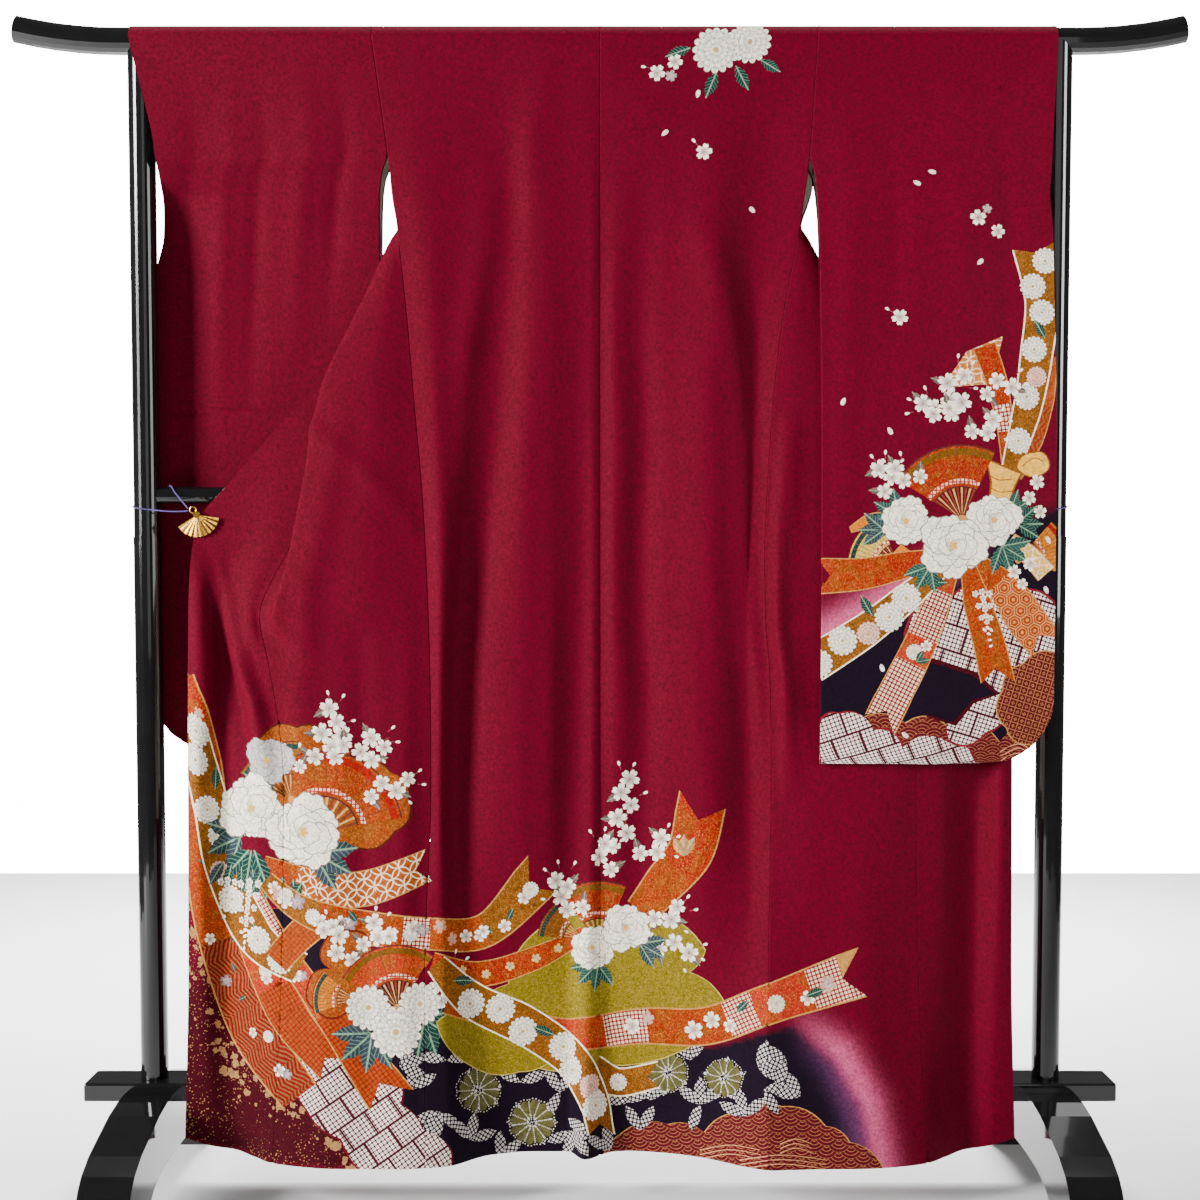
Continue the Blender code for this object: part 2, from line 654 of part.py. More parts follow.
def top_bar(home):
    """Straight over the poles, each end swept up a little."""
    run = BAR_HALF_LENGTH - BAR_STRAIGHT
    half = []
    for k in range(BAR_BEND_STEPS + 1):
        share = k / BAR_BEND_STEPS
        half.append(Vector((BAR_STRAIGHT + run * share, 0, BAR_HEIGHT + BAR_TIP_RISE * share ** 2)))
    other = [Vector((-p.x, p.y, p.z)) for p in reversed(half)]
    bar = tube("top_bar", other + half, BAR_RADIUS, BLACK_LACQUER, home, 6)
    return solid_from_curve(bar, home)


def poles(home, cutters):
    """Each pole has a lower tube on the board and an upper one, coped to the bar."""
    cope = as_cutter(cylinder("bar_cope", BAR_RADIUS + TOUCH_GAP, (-BAR_HALF_LENGTH, 0, BAR_HEIGHT),
                              (BAR_HALF_LENGTH, 0, BAR_HEIGHT), BLACK_LACQUER, cutters), cutters)
    for hand, way in (("left", -1), ("right", 1)):
        x = way * POLE_X
        cylinder("pole_%s_lower" % hand, POLE_LOWER_RADIUS, (x, 0, BOARD_TOP + TOUCH_GAP),
                 (x, 0, POLE_JOINT_HEIGHT), BLACK_LACQUER, home)
        upper = cylinder("pole_%s_upper" % hand, POLE_UPPER_RADIUS, (x, 0, POLE_JOINT_HEIGHT + TOUCH_GAP),
                         (x, 0, BAR_HEIGHT), BLACK_LACQUER, home)
        boolean(upper, cope, "DIFFERENCE")


def mid_rail(home, cutters):
    rail = cylinder("mid_rail", RAIL_RADIUS, (-POLE_X, 0, RAIL_HEIGHT), (POLE_X, 0, RAIL_HEIGHT),
                    BLACK_LACQUER, home, sides=24)
    for hand, way in (("left", -1), ("right", 1)):
        x = way * POLE_X
        cope = cylinder("rail_cope_" + hand, POLE_UPPER_RADIUS + TOUCH_GAP, (x, 0, RAIL_HEIGHT - 0.05),
                        (x, 0, RAIL_HEIGHT + 0.05), BLACK_LACQUER, cutters)
        boolean(rail, as_cutter(cope, cutters), "DIFFERENCE")


def base_board(home):
    low = (-BOARD_HALF_LENGTH, -BOARD_DEPTH / 2, BOARD_TOP - BOARD_THICKNESS)
    high = (BOARD_HALF_LENGTH, BOARD_DEPTH / 2, BOARD_TOP)
    return box("base_board", low, high, BLACK_LACQUER, home, bevel=0.003)


# outline of half a foot from its middle to its toe and back under the arch, y and z in millimetres
FOOT_OUTLINE = [
    (36.3, 137.7), (36.3, 149.5), (44, 149.5), (72, 148), (117, 142), (167, 129.5), (216, 117), (251, 101),
    (268, 86), (277, 72), (283, 45), (285, 18), (284, 0), (192, 0), (184, 22), (170, 38), (150, 49), (125, 56),
    (95, 61), (45, 63.6), (0, 64),
]


def foot(hand, home):
    """Arched foot under the board, the same to the front and the back."""
    way = -1 if hand == "left" else 1
    outline = [(0.0, FOOT_TOP)] + [(y * MM, z * MM) for y, z in FOOT_OUTLINE]
    bm = bmesh.new()
    corners = [bm.verts.new((way * POLE_X - FOOT_WIDTH / 2, y, z)) for y, z in outline]
    face = bm.faces.new(corners)
    grown = bmesh.ops.extrude_face_region(bm, geom=[face])
    moved = [g for g in grown["geom"] if isinstance(g, bmesh.types.BMVert)]
    bmesh.ops.translate(bm, verts=moved, vec=(FOOT_WIDTH, 0, 0))
    middle = [f for f in bm.faces if all(abs(v.co.y) < 1e-6 for v in f.verts)]
    bmesh.ops.delete(bm, geom=middle, context="FACES_ONLY")
    bmesh.ops.recalc_face_normals(bm, faces=bm.faces)
    made = add_mesh(bm, "foot_" + hand, BLACK_LACQUER, home)
    mirror = made.modifiers.new("front_and_back", "MIRROR")
    mirror.use_axis = (False, True, False)
    mirror.merge_threshold = 0.0001
    made.data.set_sharp_from_angle(angle=math.radians(30))
    return made


# fan clips and tie cords

JAW_LENGTH = 0.030
JAW_WIDTH = 0.008
JAW_BACK = 0.0138
JAW_SHEET = 0.002
HUB_RADIUS = 0.005
RING_OFFSET = Vector((-0.0055, 0.0, 0.0070))


def handed(hand, point):
    return Vector((point[0] if hand == "left" else -point[0], point[1], point[2]))


def fan_clip(hand, home, cutters):
    """Pleated fan in front of the cloth, a hub past its edge with a ring, and a jaw behind the collar."""
    bm = bmesh.new()
    columns = FAN_RIBS * 2
    made = bmesh.ops.create_grid(bm, x_segments=columns, y_segments=1, size=0.5)
    for vert in made["verts"]:
        column = round((vert.co.x + 0.5) * columns)
        radius = FAN_RADIUS if vert.co.y > 0 else FAN_INNER_RADIUS
        crest = FAN_RIB_DEPTH * (1 if column % 2 else -1) * radius / FAN_RADIUS
        angle = FAN_FIRST_ANGLE + (FAN_LAST_ANGLE - FAN_FIRST_ANGLE) * column / columns
        spot = CLIP_PIVOT + Vector((radius * math.cos(angle), crest, radius * math.sin(angle)))
        vert.co = handed(hand, spot)
    fan = add_mesh(bm, "fan_clip_" + hand, GOLD_METAL, home)
    wall = fan.modifiers.new("wall", "SOLIDIFY")
    wall.thickness = FAN_SHEET
    wall.offset = 0.0
    pivot = handed(hand, CLIP_PIVOT)
    hub = cylinder("hub_" + hand, HUB_RADIUS, pivot + Vector((0, -0.0022, 0)), pivot + Vector((0, JAW_BACK, 0)),
                   GOLD_METAL, cutters, sides=20)
    jaw = box("jaw_" + hand, (-JAW_WIDTH / 2, JAW_BACK - JAW_SHEET, -JAW_LENGTH), (JAW_WIDTH / 2, JAW_BACK, 0),
              GOLD_METAL, cutters)
    jaw.location = pivot
    jaw.rotation_euler.y = math.radians(-12 if hand == "left" else 12)
    bpy.ops.mesh.primitive_torus_add(major_radius=CLIP_RING_RADIUS, minor_radius=CLIP_RING_WIRE,
                                     major_segments=20, minor_segments=8)
    ring = bpy.context.object
    ring.name = "ring_" + hand
    ring.rotation_euler.x = math.radians(90)
    ring.location = handed(hand, CLIP_PIVOT + RING_OFFSET)
    for piece in (hub, jaw, ring):
        boolean(fan, as_cutter(piece, cutters), "UNION")
    return fan


# The tie cord runs from the clip's ring in front of the pole, round it, over the rail and back to the ring.
CORD_START = [(-592.0, -36.2, 1000.0), (-606, -34.0, 999.2), (-622, -31.0, 999.6), (-638, -27.0, 1001)]
CORD_END = [(-606, -26.0, 1018), (-592.2, -35.6, 1003.6)]
POLE_TURN = {"first": 292, "last": 55, "steps": 14, "low": 1.0025, "high": 1.014}
RAIL_TURN = {"first": -5, "last": 160, "steps": 8, "start_x": -0.641, "end_x": -0.617}
CORD_CLEARANCE = 0.0007
CORD_SAMPLES = 44


def cord_route(hand):
    """Points of the tie cord, read from one smooth curve."""
    radius = POLE_UPPER_RADIUS + CORD_RADIUS + CORD_CLEARANCE
    turn = []
    for k in range(POLE_TURN["steps"] + 1):
        share = k / POLE_TURN["steps"]
        angle = math.radians(POLE_TURN["first"] + (POLE_TURN["last"] - POLE_TURN["first"]) * share)
        height = POLE_TURN["low"] + (POLE_TURN["high"] - POLE_TURN["low"]) * share
        turn.append(Vector((-POLE_X + radius * math.cos(angle), radius * math.sin(angle), height)))
    radius = RAIL_RADIUS + CORD_RADIUS + CORD_CLEARANCE
    over = []
    for k in range(RAIL_TURN["steps"] + 1):
        share = k / RAIL_TURN["steps"]
        angle = math.radians(RAIL_TURN["first"] + (RAIL_TURN["last"] - RAIL_TURN["first"]) * share)
        x = RAIL_TURN["start_x"] + (RAIL_TURN["end_x"] - RAIL_TURN["start_x"]) * share
        over.append(Vector((x, radius * math.cos(angle), RAIL_HEIGHT + radius * math.sin(angle))))
    knots = metres(CORD_START) + turn + over + metres(CORD_END)
    last = len(knots) - 1
    return [handed(hand, along_points(knots, last * k / CORD_SAMPLES)) for k in range(CORD_SAMPLES + 1)]


def build():
    clear_scene()
    garment = new_collection(COLLECTION)
    cutters = new_collection("cutters")
    cloth_pieces(garment)
    collar(garment)
    top_bar(garment)
    poles(garment, cutters)
    mid_rail(garment, cutters)
    base_board(garment)
    for hand in HANDS:
        foot(hand, garment)
        fan_clip(hand, garment, cutters)
        tube("tie_cord_" + hand, cord_route(hand), CORD_RADIUS, PURPLE_CORD, garment, 2)


build()
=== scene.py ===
"""Looks of a long-sleeved kimono (furisode) hung with its back to the front on a black lacquered stand.

Lengths in the tables are millimetres. The cloth follows the same sections as the part's solids.
"""

import json
import math
import random

import bmesh
import bpy
import numpy as np
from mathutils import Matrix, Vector
from mathutils.geometry import delaunay_2d_cdt

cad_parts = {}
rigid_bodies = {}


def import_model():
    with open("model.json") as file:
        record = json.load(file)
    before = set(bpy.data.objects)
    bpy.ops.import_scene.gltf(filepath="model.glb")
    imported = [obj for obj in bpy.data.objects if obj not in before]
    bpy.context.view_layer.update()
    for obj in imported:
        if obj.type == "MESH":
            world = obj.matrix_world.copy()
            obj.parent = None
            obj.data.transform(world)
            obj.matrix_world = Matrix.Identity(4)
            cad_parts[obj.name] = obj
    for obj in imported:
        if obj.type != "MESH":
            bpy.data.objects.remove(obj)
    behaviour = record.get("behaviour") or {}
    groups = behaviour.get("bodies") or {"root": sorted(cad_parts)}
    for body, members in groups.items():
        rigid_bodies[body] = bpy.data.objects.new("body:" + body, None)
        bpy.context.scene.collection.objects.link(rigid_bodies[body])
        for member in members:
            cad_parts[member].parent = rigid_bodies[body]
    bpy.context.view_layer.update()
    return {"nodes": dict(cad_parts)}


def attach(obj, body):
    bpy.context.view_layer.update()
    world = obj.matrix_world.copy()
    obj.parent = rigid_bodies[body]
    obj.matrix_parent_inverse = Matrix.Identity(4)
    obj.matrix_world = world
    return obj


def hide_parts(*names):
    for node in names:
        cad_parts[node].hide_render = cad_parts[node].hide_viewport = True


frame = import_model()
scene = bpy.context.scene
MM = 0.001
HANDS = ("left", "right")

# ---------------------------------------------------------------- camera, floor, light

SENSOR = 36.0
FAR_CLIP = 60.0
LENS = 52.08
CAMERA_PLACE = (0.0, -2.54, 0.895)
CAMERA_DIP = math.radians(3.03)
CAMERA_SHIFT = 0.0633


def link(name, data):
    made = bpy.data.objects.new(name, data)
    scene.collection.objects.link(made)
    return made


def camera():
    data = bpy.data.cameras.new("camera")
    data.lens, data.sensor_width, data.shift_y = LENS, SENSOR, CAMERA_SHIFT
    data.clip_end = FAR_CLIP
    made = link("camera", data)
    made.location = CAMERA_PLACE
    made.rotation_euler = (math.pi / 2 - CAMERA_DIP, 0, 0)
    scene.camera = made


def area_light(name, place, target, size, energy, spread):
    data = bpy.data.lights.new(name, "AREA")
    data.shape = "RECTANGLE"
    data.size, data.size_y = size
    data.energy, data.spread = energy, math.radians(spread)
    made = link(name, data)
    made.location = place
    made.rotation_euler = (Vector(target) - Vector(place)).to_track_quat("-Z", "Y").to_euler()

# ---------------------------------------------------------------- the cloth's sections, as in the part

WALL = 0.0016
BAR_RADIUS = 0.019
BAR_HEIGHT = 1.674
TOUCH_GAP = 0.0003
CLOTH_RADIUS = BAR_RADIUS + TOUCH_GAP + WALL / 2
COLLAR_WALL = 0.0024
COLLAR_FOLD_GAP = 0.0014
COLLAR_RADIUS = BAR_RADIUS + TOUCH_GAP + COLLAR_WALL / 2 + 0.0014
COLLAR_WIDTH = 0.055
COLLAR_BEHIND = 0.0030
COLLAR_ACROSS = np.array((-0.816, 0.0, -0.579))
COLLAR_PLACES = [0.5, 1, 1.5, 2, 2.5, 3, 3.5, 4, 4.5, 5, 5.5, 6, 6.5, 7, 7.5, 7.9]
NECK_HALF_WIDTH = 0.075
NECK_ANGLE = 135
NECK_START = NECK_ANGLE + math.degrees(0.0008 / COLLAR_RADIUS)
SIDE_TOP_STATION = 3
SLEEVE_CORNER_RADIUS = 0.090
SLEEVE_CLOSING_HEIGHT = 0.075
SLEEVE_SEAM_GAP = 0.0006

# The body's stations run from the bar (first row) down to the hem (last row).
# side seam: x, y, z on each hand; above row 3 it is the back edge of the armhole
SIDE_LEFT = [
    (-326, -20, 1674), (-304, -25, 1513), (-296, -25, 1445), (-288, -26, 1386), (-276, -33, 1276),
    (-264, -42, 1140), (-255, -48, 1040), (-249, -52, 940), (-245, -55, 840), (-243, -58, 760),
    (-242, -64, 600), (-250, -90, 330), (-247, -120, 68),
]
SIDE_RIGHT = [
    (311, -20, 1674), (300, -25, 1513), (292, -25, 1445), (283, -26, 1386), (262, -33, 1276),
    (247, -42, 1140), (240, -48, 1040), (236, -52, 940), (238, -55, 840), (244, -58, 760),
    (246, -64, 600), (240, -96, 330), (238, -130, 68),
]

# back of the body, x and y of each fold line at the stations: from beside the side seam to the centre seam
# left: side ridge, valley, ridge, recess, seam pleat, centre
BACK_LEFT = [
    [(-270, -20), (-150, -20), (-75, -20), (-45, -20), (-14, -20), (0, -20)],
    [(-262, -27), (-140, -20), (-95, -27), (-50, -24), (-12, -24), (0, -22)],
    [(-252, -30), (-140, -20), (-96, -30), (-50, -26), (-12, -26), (0, -23)],
    [(-243, -33), (-148, -21), (-98, -33), (-50, -28), (-12, -28), (0, -24)],
    [(-240, -40), (-165, -22), (-104, -38), (-50, -31), (-12, -30), (0, -26)],
    [(-236, -48), (-188, -26), (-108, -42), (-52, -34), (-12, -33), (0, -28)],
    [(-232, -54), (-194, -30), (-110, -45), (-52, -35), (-12, -35), (0, -30)],
    [(-229, -57), (-198, -33), (-110, -47), (-52, -36), (-12, -36), (0, -31)],
    [(-228, -60), (-202, -37), (-112, -50), (-50, -37), (-12, -38), (0, -32)],
    [(-228, -63), (-205, -40), (-114, -52), (-50, -38), (-12, -39), (0, -33)],
    [(-228, -70), (-206, -45), (-116, -56), (-48, -40), (-12, -43), (0, -36)],
    [(-226, -88), (-190, -60), (-112, -52), (-48, -42), (-20, -54), (0, -46)],
    [(-214, -110), (-160, -62), (-100, -45), (-48, -45), (-22, -82), (0, -62)],
]
# right: valley, ridge, slope, flat, beside the seam, centre
BACK_RIGHT = [
    [(255, -20), (150, -20), (75, -20), (45, -20), (14, -20), (0, -20)],
    [(236, -20), (163, -28), (105, -26), (52, -25), (12, -23), (0, -22)],
    [(231, -20), (161, -32), (104, -28), (52, -26), (12, -24), (0, -23)],
    [(226, -20), (160, -36), (103, -30), (51, -27), (12, -25), (0, -24)],
    [(217, -22), (159, -43), (101, -34), (50, -30), (12, -28), (0, -26)],
    [(212, -26), (158, -50), (98, -38), (48, -32), (12, -30), (0, -28)],
    [(210, -30), (158, -53), (97, -40), (47, -33), (12, -32), (0, -30)],
    [(209, -33), (158, -56), (96, -42), (46, -34), (12, -33), (0, -31)],
    [(210, -36), (158, -58), (96, -43), (46, -35), (12, -34), (0, -32)],
    [(213, -38), (159, -60), (95, -45), (45, -36), (12, -35), (0, -33)],
    [(214, -46), (160, -64), (95, -48), (45, -38), (12, -37), (0, -36)],
    [(208, -80), (158, -66), (92, -50), (44, -42), (18, -40), (0, -46)],
    [(205, -112), (150, -74), (95, -52), (46, -43), (18, -47), (0, -62)],
]

# front of the body, pulled out to the side, x y z of each line at the stations (left hand, mirrored for the
# right): near layer, fold edge of the slack pleat, under fold, seam to the overlap panel
FRONT = [
    [(-262, 20, 1674), (-200, 20, 1674), (-138, 20, 1674), (-75, 20, 1674)],
    [(-270, 32, 1508), (-238, 35, 1502), (-206, 33, 1510), (-170, 27, 1541)],
    [(-284, 10, 1441), (-270, 13, 1436), (-245, 17, 1450), (-220, 22, 1471)],
    [(-293, -22, 1386), (-299, -13, 1392), (-248, -3, 1396), (-243, 8, 1417)],
    [(-310, -37, 1280), (-343, -27, 1298), (-262, -14, 1262), (-290, -4, 1290)],
    [(-330, -52, 1148), (-400, -44, 1172), (-318, -32, 1118), (-345, -22, 1150)],
    [(-338, -60, 1042), (-422, -56, 1050), (-377, -44, 1016), (-404, -34, 1034)],
    [(-346, -65, 940), (-442, -61.5, 946), (-423, -46, 939), (-448, -40, 942)],
    [(-348, -67, 840), (-462, -68, 848), (-475, -53, 849), (-488, -47.5, 850)],
    [(-320, -66, 762), (-385, -68, 766), (-435, -66, 770), (-472, -62, 774)],
    [(-305, -74, 600), (-365, -76, 600), (-415, -72, 602), (-453, -64, 606)],
    [(-310, -96, 330), (-365, -94, 330), (-415, -86, 331), (-457, -76, 333)],
    [(-307, -124, 68), (-365, -122, 68), (-420, -114, 68), (-468, -100, 69)],
]
FRONT_SIDE_Y = [20, 27, 8]
ARMHOLE_SLACK = {"left": 0.005, "right": 0.014}

# overlap panel (okumi) beyond that seam, from its tip between stations 2 and 3 down to the hem:
# swell, valley, lip, free edge; above the clip the free edge is the collar line
OVERLAP = [
    [(-220, 22, 1471), (-220, 22, 1471), (-220, 22, 1471), (-220, 22, 1471)],
    [(-246, 9.5, 1419.5), (-249.5, 11, 1422), (-253, 12.5, 1424.5), (-256, 14, 1427)],
    [(-298, -3, 1298), (-306, -2, 1306), (-314, -1, 1314), (-322, 0, 1322)],
    [(-357, -20, 1162), (-369, -18, 1174), (-381, -16, 1186), (-393, -14, 1197)],
    [(-414, -30, 1056), (-427, -26, 1083), (-440, -23, 1109), (-452, -20, 1135)],
    [(-462, -38, 964), (-486, -33, 992), (-508, -29, 1018), (-530, -26, 1046)],
    [(-502, -44, 874), (-538, -31, 915), (-563, -33, 947), (-583, -32, 975)],
    [(-500, -57, 792), (-545, -31, 822), (-576, -46, 858), (-591, -41, 885)],
    [(-490, -58, 612), (-543, -31, 622), (-578, -54, 632), (-594, -46, 640)],
    [(-490, -66, 336), (-540, -41, 340), (-574, -59, 346), (-595, -54, 350)],
    [(-497, -76, 70), (-534, -52, 74), (-570, -58, 82), (-602, -58, 92)],
]
OVERLAP_FIRST_STATION = 2

# sleeves: z of the rows, then x and y of the inner edge, two fold lines and the outer edge
SLEEVE_ROWS = [1674, 1513, 1480, 1450, 1400, 1330, 1200, 1050, 850]
LEFT_SLEEVE_BACK = [
    [(-326, -20), (-440, -20), (-556, -20), (-673, -20)],
    [(-304, -25), (-424, -23), (-540, -18), (-637, -23)],
    [(-313, -19), (-425, -14), (-541, -8), (-634, -8)],
    [(-317, -10), (-426, -4), (-542, 6), (-634, 15)],
    [(-319, 6), (-430, 14), (-548, 20), (-637, 25)],
    [(-320, 20), (-432, 26), (-552, 27), (-654, 27)],
    [(-320, 27), (-434, 30), (-554, 29), (-662, 27)],
    [(-320, 29), (-436, 31), (-556, 30), (-663, 27)],
    [(-321, 30), (-436, 31), (-556, 31), (-664, 28)],
]
LEFT_SLEEVE_FRONT = [
    [(-326, 20), (-440, 20), (-556, 20), (-673, 20)],
    [(-304, 27), (-424, 36), (-540, 38), (-644, 27)],
    [(-313, 32), (-425, 41), (-541, 42), (-637, 22)],
    [(-317, 36), (-426, 44), (-544, 44), (-634, 17)],
    [(-319, 42), (-430, 48), (-550, 46), (-637, 27)],
    [(-320, 44), (-432, 48), (-552, 46), (-654, 29)],
    [(-320, 46), (-434, 49), (-554, 46), (-662, 29)],
    [(-320, 47), (-436, 49), (-556, 46), (-663, 29)],
    [(-321, 47), (-436, 49), (-556, 46), (-664, 30)],
]
RIGHT_SLEEVE_BACK = [
    [(311, -20), (425, -20), (540, -20), (654, -20)],
    [(300, -25), (417, -30), (532, -30), (646, -26)],
    [(307, -27), (419, -34), (533, -34), (644, -28)],
    [(310, -30), (420, -38), (534, -38), (642, -30)],
    [(312, -40), (421, -46), (535, -44), (645, -37)],
    [(312, -55), (421, -58), (535, -53), (646, -43)],
    [(312, -75), (421, -75), (536, -66), (648, -53)],
    [(312, -88), (421, -88), (537, -78), (649, -60)],
    [(313, -88), (422, -88), (538, -80), (649, -62)],
]
RIGHT_SLEEVE_FRONT = [
    [(311, 20), (425, 20), (540, 20), (652, 20)],
    [(300, 27), (417, 26), (532, 22), (634, 12)],
    [(308, 18), (419, 16), (533, 10), (635, -6)],
    [(311, 3), (420, 2), (534, -4), (641, -28)],
    [(312, -20), (421, -24), (535, -27), (645, -35)],
    [(312, -39), (421, -41), (535, -40), (646, -41)],
    [(312, -61), (421, -61), (536, -54), (648, -51)],
    [(312, -74), (421, -74), (537, -66), (649, -58)],
    [(313, -74), (422, -74), (538, -67), (649, -60)],
]
SLEEVE_BOTTOM = {"left": 0.648, "right": 0.640}
NECK_ROWS = [
    [(0, NECK_START), (0, 157.5), (0, 180), (0, 22.4, 1650), (0, 23.4, 1627)],
    [(38, NECK_START), (38, 157.5), (36, 180), (33, 22.4, 1650), (29, 23.4, 1627)],
    [(66, NECK_START), (60, 157.5), (53, 180), (45, 22.4, 1652), (35, 23.4, 1628)],
    [(74.7, NECK_START), (67, 157.5), (58, 180), (50, 22.4, 1653), (38, 23.4, 1628)],
    [(74.7, 157.5), (68, 180), (60, 22.4, 1658), (51, 23.1, 1643), (41, 23.9, 1626)],
    [(74.7, 180), (67, 22.4, 1664), (58, 23.2, 1652), (49, 23.9, 1640), (42, 24.9, 1620)],
]


def along(values, places):
    """Smooth curve through evenly spaced values that never overshoots them, read at many places."""
    values = np.asarray(values, float)
    places = np.asarray(places, float)
    step = np.diff(values, axis=0)
    before, after = step[:-1], step[1:]
    both = before + after
    inner = np.where(before * after > 0, 2 * before * after / np.where(both == 0, 1, both), 0.0)
    lean = np.concatenate([step[:1], inner, step[-1:]])
    i = np.clip(np.floor(places).astype(int), 0, len(values) - 2)
    f = (places - i).reshape((-1,) + (1,) * (values.ndim - 1))
    square, cube = f * f, f * f * f
    return (values[i] * (2 * cube - 3 * square + 1) + lean[i] * (cube - 2 * square + f)
            + values[i + 1] * (3 * square - 2 * cube) + lean[i + 1] * (cube - square))


def across(guides, places):
    """Points across each row of guides, an array of rows, guides and coordinates."""
    return np.swapaxes(along(np.swapaxes(guides, 0, 1), places), 0, 1)


def side_line(hand, places):
    return along(np.array(SIDE_LEFT if hand == "left" else SIDE_RIGHT) * MM, places)


def front_side_line(hand, places):
    """Side edge of the front: behind the back's edge in the armhole, one with it along the side seam."""
    edge = side_line(hand, places)
    table = SIDE_LEFT if hand == "left" else SIDE_RIGHT
    joined = [row[1] for row in table[SIDE_TOP_STATION:SIDE_TOP_STATION + 2]]
    open_part = np.asarray(places) < SIDE_TOP_STATION
    behind = along(np.array(FRONT_SIDE_Y + joined) * MM, np.minimum(places, SIDE_TOP_STATION))
    edge[:, 1] = np.where(open_part, behind, edge[:, 1])
    slack = ARMHOLE_SLACK[hand] * np.sin(math.pi * np.clip(np.asarray(places) / SIDE_TOP_STATION, 0, 1)) ** 2
    edge[:, 0] += slack * (1 if hand == "right" else -1)
    return edge


def back_rows(hand, places, columns):
    table = np.array(BACK_LEFT if hand == "left" else BACK_RIGHT) * MM
    edge = side_line(hand, places)
    lines = along(table, places)
    height = np.repeat(edge[:, None, 2:], lines.shape[1], axis=1)
    guides = np.concatenate([edge[:, None], np.concatenate([lines, height], axis=2)], axis=1)
    return across(guides, columns)


def front_rows(hand, places, columns):
    """Rows over the front, columns 0 to 4, and the overlap panel, 4 to 8."""
    front = np.array(FRONT, float) * MM
    above = np.repeat(front[:OVERLAP_FIRST_STATION, 3:], 4, axis=1)
    overlap = np.concatenate([above, np.array(OVERLAP, float) * MM])
    lines = np.concatenate([along(front, places), along(overlap, places)], axis=1)
    if hand == "right":
        lines[..., 0] *= -1
    guides = np.concatenate([front_side_line(hand, places)[:, None], lines], axis=1)
    return across(guides, columns)


def bar_rows(start_row, end_row, angles):
    """Rows round the bar: 0 is its near side, 90 its top, 180 its far side."""
    rows = []
    for angle in angles:
        turn = math.radians(angle)
        row = start_row + (end_row - start_row) * angle / 180
        row[:, 1] = -CLOTH_RADIUS * math.cos(turn)
        row[:, 2] = BAR_HEIGHT + CLOTH_RADIUS * math.sin(turn)
        rows.append(row)
    return np.array(rows)


ACROSS = 72
# seam allowance: each sewn edge turns in over a small radius
TURN_RADIUS = 0.0012
TURN_DEPTH = 0.0024
TURN_STEPS = (0.0, 0.0006, 0.00125, 0.00188)
# round the bar the edges turn in this much less, from one distance to another along the cloth
BAR_TURN_SHARE = 0.04
BAR_TURN_REACH = (0.035, 0.060)
BAR_HALF_WRAP = 0.031
# distances at which a normal and a crease's slope are taken, and over which creases fade out at the sides
NORMAL_REACH = 0.003
SLOPE_STEP = 0.001
CREASE_FADE = 0.020


def run_along(rows):
    """Length of each row from its start to each of its points."""
    step = np.linalg.norm(np.diff(rows, axis=1), axis=2)
    return np.concatenate([np.zeros((len(rows), 1)), np.cumsum(step, axis=1)], axis=1)


def even(rows):
    """Rows with their points spread evenly along them, and each row's length."""
    run = run_along(rows)
    share = np.linspace(0, 1, ACROSS + 1)
    made = np.empty((len(rows), ACROSS + 1, 3))
    for k, (row, reach) in enumerate(zip(rows, run)):
        for axis in range(3):
            made[k, :, axis] = np.interp(share * reach[-1], reach, row[:, axis])
    return made, run[:, -1]


